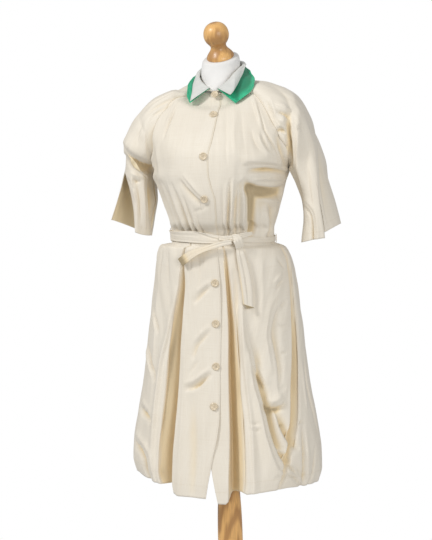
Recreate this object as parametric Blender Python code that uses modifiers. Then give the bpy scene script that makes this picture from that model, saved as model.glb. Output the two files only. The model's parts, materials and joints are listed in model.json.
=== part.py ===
"""Shirt dress with a double collar and a tie belt, worn by a limbless dress form on a turned wooden stand.

Metres, +Z up, the dress's front faces -Y. The origin is the centre of the stand's underside, on the floor.
Left and right in the names are the wearer's: the wearer's left is +X.
The cloth is built as open sheets, lofted through the sections in the tables below and given a wall by a
Solidify modifier.
"""

import math

import bmesh
import bpy
import numpy as np
from mathutils import Matrix, Vector

# ---------------------------------------------------------------- driving sizes
CLOTH = 0.0016  # wall of the dress
LEAF = 0.0014  # wall of a collar leaf
SEAM = 0.0003  # gap left between two pieces that are sewn or rest on each other
UNDERLAP = CLOTH + 0.0014  # how far the under side of the front closing lies behind the over side
SHANK = 0.0007  # thread between a button and the cloth
WAIST_Z = 1.056  # waist seam
SHOULDER_Y = 0.014  # the shoulder line, seen from the side
RAGLAN_FRONT = 48.0  # degrees round the neck, from centre front, where the raglan seams end
RAGLAN_BACK = 128.0

# ---------------------------------------------------------------- colours
CREAM = (0.84, 0.76, 0.62)
WHITE = (0.84, 0.83, 0.80)
GREEN = (0.01, 0.40, 0.20)
HORN = (0.80, 0.62, 0.38)
WOOD = (0.60, 0.34, 0.13)


def table(columns, rows):
    """One row for each section, read by column name."""
    return dict(zip(columns.split(), np.array(rows, float).T))


# Half-sections of the bodice from waist to neck. Each runs from the centre line to a seam point: the side
# seam up to the underarm, and the raglan seam above it. turn is the angle through which the section bends
# on its way, edge how far the right front's free edge passes the centre line, shift how far the section
# hangs to the left.
FRONT_SECTIONS = {"left": table("z out seam_x seam_y seam_z turn edge shift", [
    (WAIST_Z, 0.1080, 0.1295, 0.012, WAIST_Z, 90, 0.0155, 0.000),
    (1.083, 0.1094, 0.1303, 0.012, 1.083, 90, 0.0155, 0.000),
    (1.101, 0.1330, 0.1345, 0.012, 1.101, 90, 0.0165, 0.001),
    (1.124, 0.1440, 0.1390, 0.011, 1.124, 90, 0.0180, 0.003),
    (1.160, 0.1550, 0.1490, 0.010, 1.160, 90, 0.0190, 0.003),
    (1.195, 0.1610, 0.1610, 0.010, 1.195, 90, 0.0130, 0.001),
    (1.225, 0.1620, 0.1730, 0.010, 1.225, 90, 0.0090, 0.000),
    (1.264, 0.1580, 0.1810, -0.048, 1.264, 76, 0.0085, 0.000),
    (1.308, 0.1380, 0.1640, -0.074, 1.316, 66, 0.0155, 0.000),
    (1.350, 0.1040, 0.1370, -0.064, 1.366, 58, 0.0180, 0.000),
    (1.389, 0.0690, 0.1020, -0.044, 1.411, 54, 0.0190, 0.000),
    (1.4225, 0.0410, 0.0461, -0.0175, 1.4323, 50, 0.0150, 0.000),
])}
# The right front is drawn in above the underarm, where the sleeve hangs over it.
FRONT_SECTIONS["right"] = dict(FRONT_SECTIONS["left"], **table("seam_x seam_y", [
    (0.1295, 0.012), (0.1303, 0.012), (0.1345, 0.012), (0.1390, 0.011), (0.1490, 0.010), (0.1610, 0.010),
    (0.1730, 0.010), (0.1600, -0.056), (0.1550, -0.079), (0.1340, -0.067), (0.1020, -0.044),
    (0.0461, -0.0175)]))
BACK_SECTIONS = table("z out seam_x seam_y seam_z turn", [
    (WAIST_Z, 0.0980, 0.1295, 0.012, WAIST_Z, 90),
    (1.083, 0.0993, 0.1303, 0.012, 1.083, 90),
    (1.101, 0.1050, 0.1345, 0.012, 1.101, 90),
    (1.124, 0.1095, 0.1390, 0.011, 1.124, 90),
    (1.160, 0.1140, 0.1490, 0.010, 1.160, 90),
    (1.195, 0.1180, 0.1610, 0.010, 1.195, 90),
    (1.225, 0.1200, 0.1730, 0.010, 1.225, 90),
    (1.268, 0.1210, 0.1780, 0.066, 1.264, 76),
    (1.316, 0.1210, 0.1600, 0.092, 1.318, 66),
    (1.362, 0.1180, 0.1320, 0.092, 1.368, 58),
    (1.415, 0.1080, 0.0980, 0.082, 1.420, 54),
    (1.474, 0.0900, 0.0489, 0.0670, 1.4655, 52),
])
UNDERARM_ROW, NECK_ROW = 6, 11

# The neckline: an ellipse round the neck, lower in front.
NECK_WIDE, NECK_CENTRE_Y, NECK_FORWARD, NECK_BACKWARD = 0.062, 0.030, 0.071, 0.060
NECK_FRONT_Z, NECK_SIDE_Z, NECK_BACK_Z = 1.4225, 1.452, 1.474

# Sleeve sections above the underarm, from underarm to neck: the crest over the shoulder, and how far the
# section reaches in front of the shoulder line and behind it. The worn sleeves differ.
CREST = {
    "left": table("x z forward backward", [
        (0.2480, 1.286, 0.074, 0.074), (0.2280, 1.350, 0.084, 0.082), (0.1990, 1.402, 0.091, 0.090),
        (0.1550, 1.431, 0.080, 0.084), (0.1080, 1.447, 0.060, 0.072), (0.0620, 1.452, 0.040, 0.045)]),
    "right": table("x z forward backward", [
        (0.2450, 1.306, 0.076, 0.074), (0.2230, 1.354, 0.086, 0.082), (0.1940, 1.388, 0.091, 0.090),
        (0.1560, 1.418, 0.080, 0.084), (0.1080, 1.434, 0.060, 0.072), (0.0620, 1.452, 0.040, 0.045)]),
}
# Sleeve sections below the underarm: the inner and outer ends of each, and its reach forward and backward.
# The right sleeve's upper arm overhangs, so its reach drops at once.
SLEEVE_RINGS = {
    "left": table("at in_x in_z out_x out_z forward backward", [
        (0.5, 0.182, 1.208, 0.2550, 1.260, 0.072, 0.073), (1.0, 0.190, 1.188, 0.2620, 1.236, 0.070, 0.072),
        (2.0, 0.202, 1.144, 0.2740, 1.185, 0.067, 0.070), (3.0, 0.205, 1.098, 0.2850, 1.142, 0.065, 0.068),
        (4.0, 0.199, 1.046, 0.2970, 1.094, 0.062, 0.066)]),
    "right": table("at in_x in_z out_x out_z forward backward", [
        (0.3, 0.175, 1.217, 0.2445, 1.290, 0.080, 0.072),
        (0.65, 0.1745, 1.207, 0.2445, 1.271, 0.062, 0.071),
        (1.0, 0.174, 1.195, 0.2450, 1.255, 0.061, 0.070), (2.0, 0.171, 1.158, 0.2540, 1.212, 0.060, 0.068),
        (3.0, 0.178, 1.117, 0.2690, 1.168, 0.059, 0.064),
        (4.0, 0.188, 1.068, 0.2885, 1.116, 0.058, 0.058)]),
}
# The slit in each cuff: the sleeve section it climbs to, its place round the cuff in steps from the
# underarm seam, how far the front flap is drawn in, back and down at the hem, and how far the back flap
# drops at its edge and behind.
VENT = {
    "left": dict(top=1.5, step=5, draw_in=0.00, draw_back=0.000, front_drop=0.020, edge_drop=0.006,
                 back_drop=0.0),
    "right": dict(top=1.5, step=7, draw_in=0.82, draw_back=0.022, front_drop=0.037, edge_drop=0.005,
                  back_drop=0.012),
}

# Skirt sections. drop runs from 0 at the waist seam to 1 at the hem; shift is how far the ring hangs to the
# left.
SKIRT_TOP_Z = WAIST_Z - SEAM
SKIRT_SECTIONS = table("drop half_width front back shift", [
    (0.000, 0.1295, 0.1080, 0.098, 0.000), (0.018, 0.1300, 0.1085, 0.0985, 0.000),
    (0.034, 0.1570, 0.1120, 0.110, -0.002), (0.090, 0.1720, 0.1130, 0.122, 0.000),
    (0.180, 0.1800, 0.1140, 0.134, 0.001), (0.300, 0.1900, 0.1190, 0.145, 0.001),
    (0.450, 0.2010, 0.1270, 0.156, -0.001), (0.600, 0.2120, 0.1390, 0.168, -0.002),
    (0.750, 0.2290, 0.1540, 0.180, -0.003), (0.870, 0.2395, 0.1650, 0.188, -0.005),
    (0.950, 0.2410, 0.1700, 0.190, -0.006), (1.000, 0.2330, 0.1710, 0.188, -0.006),
])
SKIRT_CENTRE_Y = 0.012
# The gathers stand out under the belt, higher on the right than on the left: each section's rise on either
# side.
SHELF = table("drop right left", [
    (0.0, 0.0, 0.0), (0.018, 0.0045, 0.0008), (0.034, 0.009, 0.0015), (0.18, 0.0, 0.0)])
# Deep unpressed pleats. Angles run round from centre front, + to the wearer's left. near and far are the
# two lips, at the waist, half way and at the hem; bottom says how far across the pleat its deepest line
# lies.
PLEATS = {
    "right_front": table("near far depth bottom", [
        (-25.0, -27.5, 0.003, 0.35), (-25.5, -36.0, 0.046, 0.40), (-25.0, -35.0, 0.052, 0.75)]),
    "left_front": table("near far depth bottom", [
        (10.5, 13.0, 0.003, 0.40), (10.8, 16.8, 0.040, 0.40), (10.5, 20.0, 0.058, 0.45)]),
    "left_side": table("near far depth bottom", [
        (78.0, 86.0, 0.004, 0.50), (62.0, 71.0, 0.034, 0.50), (41.0, 45.0, 0.003, 0.50)]),
    "back_left": table("near far depth bottom", [
        (140.0, 144.0, 0.003, 0.50), (141.0, 149.0, 0.024, 0.50), (138.0, 150.0, 0.034, 0.50)]),
    "back_right": table("near far depth bottom", [
        (216.0, 220.0, 0.003, 0.50), (212.0, 220.0, 0.022, 0.50), (209.0, 221.0, 0.032, 0.50)]),
    "right_side": table("near far depth bottom", [
        (259.0, 265.0, 0.003, 0.50), (256.0, 264.0, 0.026, 0.50), (253.0, 262.0, 0.012, 0.50)]),
}
PLEAT_ROWS = (0.0, 0.5, 1.0)
PLEAT_COLUMNS = ("near", "far", "depth", "bottom")
HEM_Z = {
    "right_front": table("angle z", [
        (-96, 0.477), (-60, 0.477), (-45, 0.468), (-30, 0.461), (-26, 0.448), (-22, 0.440), (8, 0.436)]),
    "left_front": table("angle z", [
        (-8, 0.426), (9, 0.424), (13, 0.440), (19, 0.452), (22, 0.447), (50, 0.455), (92, 0.447)]),
    "back": table("angle z", [(92, 0.447), (130, 0.455), (180, 0.460), (230, 0.464), (269, 0.476)]),
}
SIDE_SEAM_LEFT, SIDE_SEAM_RIGHT = 92.0, -91.0
# The free front edges of the skirt: the distance past the centre line, + to the wearer's left.
FRONT_EDGE = table("drop over under", [
    (0.00, 0.015, -0.016), (0.30, 0.019, -0.018), (0.68, 0.018, -0.020), (0.87, 0.002, 0.001),
    (1.00, -0.012, 0.017)])

# The collar. The roll line is an ellipse leaning in on the neck, higher behind; the leaves fall from it to
# edges given by a point for each angle round the neck. The left leaves spread over the shoulder, the right
# ones hug the neck.
ROLL_CENTRE_Y, ROLL_FORWARD, ROLL_BACKWARD = 0.036, 0.077, 0.055
ROLL_LINE = table("angle wide z", [
    (-180, 0.0535, 1.493), (-140, 0.0530, 1.486), (-106, 0.0522, 1.474), (-90, 0.0522, 1.467),
    (-75, 0.0525, 1.459), (-52, 0.0530, 1.446), (-30, 0.0540, 1.435), (0, 0.0550, 1.4240),
    (30, 0.0550, 1.437), (52, 0.0550, 1.457), (75, 0.0550, 1.472), (90, 0.0550, 1.478),
    (106, 0.0548, 1.484), (140, 0.0540, 1.491), (180, 0.0535, 1.493)])
STAND_LAP = 13.0  # degrees each end of the collar stand passes the centre
LEAVES = {
    ("white", "left"): table("angle x y z", [
        (8, 0.0500, -0.0850, 1.4120), (30, 0.0545, -0.0660, 1.4215), (52, 0.0560, -0.0460, 1.4310),
        (70, 0.0605, -0.0220, 1.4490), (85, 0.0650, 0.0020, 1.4685), (100, 0.0660, 0.0250, 1.4865),
        (120, 0.0600, 0.0580, 1.4890), (140, 0.0460, 0.0860, 1.4840), (160, 0.0250, 0.1030, 1.4760),
        (180, 0.0000, 0.1080, 1.4750)]),
    ("white", "right"): table("angle x y z", [
        (11, 0.0542, -0.0720, 1.4000), (30, 0.0549, -0.0624, 1.4064), (52, 0.0561, -0.0474, 1.4166),
        (70, 0.0590, -0.0200, 1.4400), (85, 0.0605, 0.0140, 1.4610), (100, 0.0600, 0.0380, 1.4750),
        (120, 0.0570, 0.0620, 1.4800), (140, 0.0450, 0.0860, 1.4770), (160, 0.0250, 0.1030, 1.4760),
        (180, 0.0000, 0.1080, 1.4750)]),
    ("green", "left"): table("angle x y z", [
        (9, 0.0591, -0.0720, 1.3910), (30, 0.0719, -0.0650, 1.4010), (50, 0.0832, -0.0550, 1.4114),
        (66, 0.0949, -0.0465, 1.4224), (78, 0.0995, -0.0400, 1.4350), (90, 0.0960, -0.0140, 1.4510),
        (103, 0.0823, 0.0120, 1.4655), (115, 0.0745, 0.0350, 1.4750), (130, 0.0680, 0.0660, 1.4710),
        (145, 0.0520, 0.0940, 1.4660), (162, 0.0280, 0.1120, 1.4610), (180, 0.0000, 0.1180, 1.4590)]),
    ("green", "right"): table("angle x y z", [
        (12, 0.0557, -0.0680, 1.3960), (30, 0.0610, -0.0600, 1.4026), (50, 0.0680, -0.0465, 1.4152),
        (66, 0.0705, -0.0305, 1.4302), (78, 0.0735, -0.0110, 1.4430), (90, 0.0695, 0.0110, 1.4570),
        (103, 0.0670, 0.0300, 1.4640), (115, 0.0650, 0.0480, 1.4680), (130, 0.0610, 0.0740, 1.4670),
        (145, 0.0490, 0.0960, 1.4640), (162, 0.0280, 0.1120, 1.4600), (180, 0.0000, 0.1180, 1.4590)]),
}
# The path each leaf takes over the roll line: outward and upward from the top of the stand.
ROLL_PATH = {
    "white": ((-0.0014, 0.0000), (-0.0012, 0.0060), (0.0012, 0.0092), (0.0058, 0.0092)),
    "green": ((0.0004, 0.0000), (0.0006, 0.0030), (0.0024, 0.0050), (0.0052, 0.0042)),
}
# How the leaf hangs between its roll and its edge, as the place of a bending point: out and up.
HANG = {"white": (0.60, 0.60), "green": (0.20, 0.40)}

# The tie belt. Its band is an ellipse at the waist, folded narrower in front; the tails hang from the knot.
BELT_WIDE, BELT_FRONT, BELT_BACK = 0.1326, 0.1113, 0.1013
BELT_BAND = table("angle z height", [
    (-180, 1.060, 0.024), (-110, 1.066, 0.024), (-70, 1.070, 0.024), (-40, 1.067, 0.021),
    (-10, 1.0605, 0.014), (0, 1.0595, 0.013), (25, 1.0620, 0.013), (60, 1.0565, 0.013),
    (90, 1.0560, 0.0125), (130, 1.0580, 0.019), (180, 1.060, 0.024)])
KNOT = table("z x y half_width half_depth", [
    (1.0430, 0.0667, -0.1038, 0.006, 0.0030), (1.0470, 0.0661, -0.1047, 0.010, 0.0055),
    (1.0540, 0.0646, -0.1055, 0.014, 0.0075), (1.0610, 0.0638, -0.1060, 0.016, 0.0085),
    (1.0680, 0.0638, -0.1055, 0.016, 0.0078), (1.0735, 0.0658, -0.1047, 0.012, 0.0060),
    (1.0765, 0.0668, -0.1042, 0.007, 0.0035)])
TAILS = {
    "long": table("x y z width twist", [
        (0.0680, -0.1060, 1.0424, 0.017, 0), (0.0705, -0.1110, 1.0260, 0.020, 0),
        (0.0745, -0.1095, 1.0040, 0.024, 4), (0.0785, -0.1085, 0.9800, 0.026, 6),
        (0.0820, -0.1090, 0.9550, 0.027, 4), (0.0850, -0.1105, 0.9300, 0.027, 0),
        (0.0865, -0.1130, 0.9080, 0.026, -6), (0.0890, -0.1160, 0.8960, 0.022, -14)]),
    "short": table("x y z width twist", [
        (0.0500, -0.1140, 1.0575, 0.011, 0), (0.0300, -0.1225, 1.0545, 0.012, 0),
        (0.0090, -0.1250, 1.0490, 0.013, 10), (-0.0120, -0.1250, 1.0430, 0.014, 20),
        (-0.0320, -0.1235, 1.0360, 0.017, 25), (-0.0520, -0.1200, 1.0270, 0.021, 15),
        (-0.0680, -0.1165, 1.0170, 0.022, 5), (-0.0800, -0.1135, 1.0080, 0.022, 0)]),
}
TAIL_FACING = {"long": 30.0, "short": -14.0}  # the way each tail faces, in degrees from centre front
# Thread loops that carry the belt at the side seams: their height, and the path of each over the belt as a
# share of that height and a distance out from the belt's face.
LOOPS = {"right": dict(angle=-88, z=1.0700, height=0.034), "left": dict(angle=93, z=1.0570, height=0.0215)}
LOOP_PATH = ((-0.50, -0.0006), (-0.41, 0.0019), (0.0, 0.0022), (0.41, 0.0019), (0.50, -0.0006))
LOOP_WIDTH = 0.004

# The button row, down the right front.
BUTTONS = table("z x", [
    (1.4145, 0.0030), (1.3653, 0.0085), (1.2654, -0.0035), (1.1633, -0.0045), (0.9576, 0.0060),
    (0.8588, 0.0065), (0.7553, 0.0065), (0.6590, 0.0020)])
BUTTON_PROFILE = (
    (0.0, 0.0), (0.0072, 0.0), (0.0095, 0.0010), (0.0095, 0.0022), (0.0086, 0.0030), (0.0072, 0.0026),
    (0.0060, 0.0018), (0.0, 0.0018))

# The dress form under the cloth: rings from its base to the neck.
TORSO = table("z half_width front back centre_y", [
    (0.790, 0.100, 0.080, 0.078, 0.012), (0.794, 0.112, 0.090, 0.090, 0.012),
    (0.830, 0.128, 0.098, 0.104, 0.012), (0.890, 0.138, 0.100, 0.110, 0.012),
    (0.960, 0.136, 0.098, 0.104, 0.012), (1.020, 0.124, 0.094, 0.086, 0.012),
    (1.060, 0.116, 0.092, 0.078, 0.012), (1.110, 0.120, 0.110, 0.081, 0.012),
    (1.160, 0.130, 0.136, 0.090, 0.012), (1.210, 0.144, 0.146, 0.097, 0.012),
    (1.260, 0.155, 0.138, 0.100, 0.012), (1.310, 0.161, 0.112, 0.098, 0.014),
    (1.350, 0.162, 0.084, 0.094, 0.016), (1.380, 0.154, 0.064, 0.086, 0.018),
    (1.400, 0.136, 0.052, 0.078, 0.020), (1.414, 0.110, 0.046, 0.070, 0.023),
    (1.424, 0.084, 0.046, 0.058, 0.026)])
FORM_NECK = table("z half_width front back centre_y tilt lean", [
    (1.4244, 0.0575, 0.0620, 0.0490, 0.031, 0, 0), (1.4320, 0.0545, 0.0595, 0.0470, 0.033, 0, 0),
    (1.4440, 0.0510, 0.0545, 0.0450, 0.035, 2, 0), (1.4580, 0.0498, 0.0510, 0.0440, 0.036, 6, 0),
    (1.4710, 0.0495, 0.0490, 0.0440, 0.037, 11, 0), (1.4840, 0.0488, 0.0475, 0.0450, 0.038, 17, 1),
    (1.4960, 0.0478, 0.0465, 0.0455, 0.039, 21, 3), (1.5045, 0.0462, 0.0450, 0.0450, 0.0385, 23, 4),
    (1.5080, 0.0430, 0.0430, 0.0430, 0.0380, 23, 4)])
PLATE_TILT, FINIAL_LEAN = 23.0, 4.0
FINIAL = (
    (0.0, 0.0006), (0.0330, 0.0006), (0.0345, 0.0035), (0.0330, 0.0085), (0.0290, 0.0145), (0.0240, 0.0205),
    (0.0208, 0.0255), (0.0196, 0.0300), (0.0202, 0.0345), (0.0240, 0.0400), (0.0283, 0.0465),
    (0.0310, 0.0540), (0.0318, 0.0610), (0.0306, 0.0700), (0.0268, 0.0790), (0.0200, 0.0865),
    (0.0105, 0.0910), (0.0, 0.0925))
POST = (
    (0.0, 0.0303), (0.0340, 0.0303), (0.0360, 0.0360), (0.0340, 0.0440), (0.0260, 0.0560), (0.0245, 0.0800),
    (0.0270, 0.1400), (0.0305, 0.2300), (0.0315, 0.3000), (0.0305, 0.3600), (0.0275, 0.4200),
    (0.0255, 0.5000), (0.0240, 0.6500), (0.0240, 0.7895), (0.0, 0.7895))
BASE = ((0.0, 0.0), (0.1900, 0.0), (0.1940, 0.0040), (0.1940, 0.0160), (0.1900, 0.0220), (0.1750, 0.0260),
        (0.0600, 0.0300), (0.0, 0.0300))


# ---------------------------------------------------------------- curves and sheets
def smooth(knots, values, at):
    """Monotone cubic through a few values: a section between two rows of a table never overshoots them."""
    knots, values, at = (np.asarray(a, float) for a in (knots, values, at))
    step = np.diff(knots)
    slope = np.diff(values) / step
    tangent = np.zeros_like(values)
    same_way = slope[:-1] * slope[1:] > 0
    tangent[1:-1][same_way] = 2 / (1 / slope[:-1][same_way] + 1 / slope[1:][same_way])
    tangent[0], tangent[-1] = slope[0], slope[-1]
    i = np.clip(np.searchsorted(knots, at, side="right") - 1, 0, len(step) - 1)
    t = np.clip((at - knots[i]) / step[i], 0, 1)
    rise = (1 + 2 * t) * (1 - t) ** 2 * values[i] + t * t * (3 - 2 * t) * values[i + 1]
    return rise + step[i] * t * (1 - t) * ((1 - t) * tangent[i] - t * tangent[i + 1])


def trimmed(grid, first=0.0, last=0.0, bottom=0.0, top=0.0):
    """The sheet with its border rows or columns drawn in by these distances, which leaves the gap at a
    seam. first and last may hold a distance for each row."""
    grid = grid.copy()
    first, last = (np.asarray(by, float).reshape(-1, 1) for by in (first, last))
    for edge, beside, by in ((grid[:, 0], grid[:, 1], first), (grid[:, -1], grid[:, -2], last),
                             (grid[0], grid[1], bottom), (grid[-1], grid[-2], top)):
        along = beside - edge
        edge += by * along / np.maximum(np.linalg.norm(along, axis=-1, keepdims=True), 1e-9)
    return grid


def normals(grid):
    """Unit normals of a grid of points: along a row crossed with up the columns."""
    across = np.cross(np.gradient(grid, axis=1), np.gradient(grid, axis=0))
    return across / np.maximum(np.linalg.norm(across, axis=-1, keepdims=True), 1e-12)


def sheet(name, grid, wall, material, outward=1, cut=None, closed=False):
    """An object for a grid of points, rows by columns, closed to a ring or not. Solidify gives it a wall on
    its inner side. cut = (row, column, grid) parts the sheet down a column from that row on: the faces
    before it take their points from that other grid."""
    rows, columns = grid.shape[:2]
    bm = bmesh.new()
    points = [[bm.verts.new(p) for p in row] for row in grid]
    if cut:
        top, column, other = cut
        before = [list(row) for row in points]
        for r in range(top + 1, rows):
            for c in range(column):
                points[r][c].co = other[r, c]
            aside = other[r, column - 1] - other[r, column]
            before[r][column] = bm.verts.new(other[r, column] + SEAM * aside / np.linalg.norm(aside))
    for r in range(rows - 1):
        for c in range(columns if closed else columns - 1):
            near = before if cut and c < cut[1] else points
            following = (c + 1) % columns
            corners = [near[r][c], near[r][following], near[r + 1][following], near[r + 1][c]]
            bm.faces.new(corners if outward > 0 else corners[::-1])
    mesh = bpy.data.meshes.new(name)
    bm.to_mesh(mesh)
    bm.free()
    mesh.shade_smooth()
    obj = placed(name, mesh, material)
    solid = obj.modifiers.new("Wall", "SOLIDIFY")
    solid.thickness = wall
    solid.offset = -1
    return obj


def loft(name, rings, material):
    """A closed solid through rings of points, capped flat at both ends."""
    bm = bmesh.new()
    loops = [[bm.verts.new(p) for p in ring] for ring in rings]
    count = len(loops[0])
    for low, high in zip(loops, loops[1:]):
        for c in range(count):
            bm.faces.new([low[c], low[(c + 1) % count], high[(c + 1) % count], high[c]])
    bm.faces.new(loops[0][::-1])
    bm.faces.new(loops[-1])
    bmesh.ops.recalc_face_normals(bm, faces=bm.faces)
    mesh = bpy.data.meshes.new(name)
    bm.to_mesh(mesh)
    bm.free()
    mesh.shade_smooth()
    return placed(name, mesh, material)


def turned(name, profile, segments, material, frame=None):
    """A solid turned about its axis by a Screw modifier, from a profile of (radius, height) that starts on
    the axis at the foot and ends on it at the top."""
    mesh = bpy.data.meshes.new(name)
    mesh.from_pydata([(radius, 0, height) for radius, height in profile[::-1]],
                     [(i, i + 1) for i in range(len(profile) - 1)], [])
    obj = placed(name, mesh, material)
    screw = obj.modifiers.new("Turn", "SCREW")
    screw.steps = screw.render_steps = segments
    screw.use_merge_vertices = True
    screw.merge_threshold = 0.00005
    if frame is not None:
        obj.matrix_world = frame
    return obj


def placed(name, mesh, material):
    obj = bpy.data.objects.new(name, mesh)
    obj.data.materials.append(material)
    PARTS.objects.link(obj)
    return obj


def finish_material(name, colour, roughness):
    material = bpy.data.materials.new(name)
    material.use_nodes = True
    shader = material.node_tree.nodes["Principled BSDF"]
    shader.inputs["Base Color"].default_value = (*colour, 1)
    shader.inputs["Roughness"].default_value = roughness
    shader.inputs["Metallic"].default_value = 0
    return material


# ---------------------------------------------------------------- bodice and sleeves
def neckline(angle):
    """Points of the neck seam at angles in degrees from centre front, + to the wearer's left."""
    a = np.radians(angle)
    forward = np.cos(a)
    y = NECK_CENTRE_Y - np.where(forward > 0, NECK_FORWARD, NECK_BACKWARD) * forward
    z = NECK_SIDE_Z + np.where(forward > 0, NECK_FRONT_Z - NECK_SIDE_Z, NECK_SIDE_Z - NECK_BACK_Z) * forward
    return np.stack([NECK_WIDE * np.sin(a), y, z], -1)


def section_row(sections, position):
    return {k: smooth(np.arange(len(v)), v, position) for k, v in sections.items()}


def half_section(sections, position, across, sign):
    """Points of one bodice section. position counts rows of the table; across runs from 0 at the centre
    line to 1 at the seam, and below 0 past the centre; sign is -1 for the front and 1 for the back."""
    row = section_row(sections, position)
    turn = np.radians(row["turn"])
    bend = across * turn
    x = row["seam_x"] * np.sin(bend) / np.sin(turn)
    centre_y = sign * row["out"]
    y = centre_y + (row["seam_y"] - centre_y) * (1 - np.cos(bend)) / (1 - np.cos(turn))
    z = row["z"] + (row["seam_z"] - row["z"]) * (x / row["seam_x"]) ** 2
    return np.stack([x, y, z], -1)


def bodice_rows(below, above):
    """Row positions: some up to the underarm, some above it."""
    return np.concatenate([np.linspace(0, UNDERARM_ROW, below + 1)[:-1],
                           np.linspace(UNDERARM_ROW, NECK_ROW, above + 1)])


def front_grid(side, rows, columns):
    """Rows from waist to neck, columns from the free front edge to the seam, for side "left" or "right"."""
    grid = []
    for position in rows:
        row = section_row(FRONT_SECTIONS[side], position)
        turn = math.radians(row["turn"])
        past = -math.asin(row["edge"] / row["seam_x"] * math.sin(turn)) / turn
        across = np.concatenate([[past, 0, 0.5 / (columns - 1)], np.linspace(0, 1, columns)[1:]])
        if position >= NECK_ROW:
            line = neckline(across * RAGLAN_FRONT)
        else:
            line = half_section(FRONT_SECTIONS[side], np.full(len(across), position), across, -1)
        if side == "right":
            line[:, 0] *= -1
        line[:, 0] += row["shift"]
        grid.append(line)
    grid = np.array(grid)
    if side == "left":  # the under side of the front closing
        tuck = UNDERLAP * np.clip((0.034 - grid[..., :1]) / 0.010, 0, 1)
        grid -= tuck * normals(grid)
    return grid


def back_grid(rows, columns):
    """Rows from waist to neck, columns from the right seam to the left one."""
    grid = []
    for position in rows:
        across = np.linspace(-1, 1, 2 * columns + 1)
        if position >= NECK_ROW:
            line = neckline(180 - across * (180 - RAGLAN_BACK))
        else:
            line = half_section(BACK_SECTIONS, np.full(len(across), position), across, 1)
        line[:, 0] += section_row(FRONT_SECTIONS["left"], position)["shift"]
        grid.append(line)
    return np.array(grid)


def sleeve_arc(side, position, half_columns):
    """A sleeve section above the underarm: from the front raglan seam over the crest to the back one."""
    shoulder = position - UNDERARM_ROW
    if position >= NECK_ROW:
        return neckline(np.linspace(RAGLAN_FRONT, RAGLAN_BACK, 2 * half_columns + 1))
    top = section_row(CREST[side], shoulder)
    turn = np.linspace(0, 1, half_columns + 1)
    halves = []
    for sections, sign, reach in ((FRONT_SECTIONS[side], -1, top["forward"]),
                                  (BACK_SECTIONS, 1, top["backward"])):
        x0, y0, z0 = half_section(sections, position, 1.0, sign)
        start = -math.acos(min(abs(SHOULDER_Y - y0) / reach, 1.0)) if shoulder > 0 else -math.pi / 2
        if shoulder <= 0:
            x0 += 2 * SEAM
        elif abs(SHOULDER_Y - y0) > reach:
            reach = abs(SHOULDER_Y - y0)
        angle = start + (math.pi / 2 - start) * turn
        up_x = (top["x"] - x0) / (1 - math.sin(start))
        up_z = (top["z"] - z0) / (1 - math.sin(start))
        below = 1 - np.sin(angle)
        halves.append(np.stack([top["x"] - up_x * below, SHOULDER_Y + sign * reach * np.cos(angle),
                                top["z"] - up_z * below], -1))
    return np.concatenate([halves[0], halves[1][-2::-1]])


def sleeve_ring(side, position, half_columns):
    """A sleeve section below the underarm: an ellipse that starts and ends on the underarm seam."""
    crest, rings = CREST[side], SLEEVE_RINGS[side]
    underarm = section_row(FRONT_SECTIONS["left"], UNDERARM_ROW)
    first = {"at": 0.0, "in_x": underarm["seam_x"] + 2 * SEAM, "in_z": underarm["seam_z"],
             "out_x": crest["x"][0], "out_z": crest["z"][0],
             "forward": crest["forward"][0], "backward": crest["backward"][0]}
    knots = np.concatenate([[0.0], rings["at"]])
    ring = {k: smooth(knots, np.concatenate([[first[k]], v]), position) for k, v in rings.items()}
    angle = np.radians(np.linspace(-90, 270, 2 * half_columns + 1))
    reach = np.where(np.cos(angle) > 0, ring["forward"], ring["backward"])
    share = (1 + np.sin(angle)) / 2
    return np.stack([ring["in_x"] + (ring["out_x"] - ring["in_x"]) * share,
                     SHOULDER_Y - reach * np.cos(angle),
                     ring["in_z"] + (ring["out_z"] - ring["in_z"]) * share], -1)


def sleeve_grid(side, upper_rows, ring_rows, half_columns):
    """Rows from neck to cuff, columns from the front seam over the crest to the back seam."""
    grid = [sleeve_arc(side, position, half_columns) for position in upper_rows[::-1]]
    grid += [sleeve_ring(side, position, half_columns) for position in ring_rows]
    grid = np.array(grid)
    if side == "right":
        grid[..., 0] *= -1
    return grid


def slit_sleeve(grid, side, ring_rows, step):
    """Hangs the two flaps of the cuff's slit. Returns the front flap's grid points and the back flap's,
    which part along column step below the slit's top."""
    vent = VENT[side]
    front, back = grid.copy(), grid.copy()
    first = len(grid) - len(ring_rows)
    for r, position in enumerate(ring_rows, first):
        share = max(0.0, (position - vent["top"]) / (4.0 - vent["top"]))
        near = np.clip(np.arange(grid.shape[1]) / step, 0, 1)[:, None]
        seam = grid[r, 0]
        front[r] += share * near * vent["draw_in"] * (seam - grid[r]) * (1, 0, 0)
        front[r] += share * near ** 2 * (0, vent["draw_back"], -vent["front_drop"])
        away = np.clip((np.arange(grid.shape[1]) - step) / (grid.shape[1] - 1 - step), 0, 1)[:, None]
        drop = vent["edge_drop"] * (1 - away) ** 2 + vent["back_drop"] * np.sin(math.pi * away)
        back[r] -= share * drop * (0, 0, 1)
    return front, back


def side_gap(rows):
    """How far a bodice piece is drawn in at its seam: further at the underarm, where three pieces meet."""
    return np.where(rows == UNDERARM_ROW, 3 * SEAM, 1.5 * SEAM)


# ---------------------------------------------------------------- skirt
def skirt_size(column, drop):
    return smooth(SKIRT_SECTIONS["drop"], SKIRT_SECTIONS[column], drop)


def pleat_value(pleat, column, drop):
    return smooth(PLEAT_ROWS, PLEATS[pleat][column], drop)


def edge_angle(edge, drop):
    """The free front edge as an angle round the skirt."""
    reach = smooth(FRONT_EDGE["drop"], FRONT_EDGE[edge], drop)
    return np.degrees(np.arcsin(reach / skirt_size("half_width", drop)))


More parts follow.
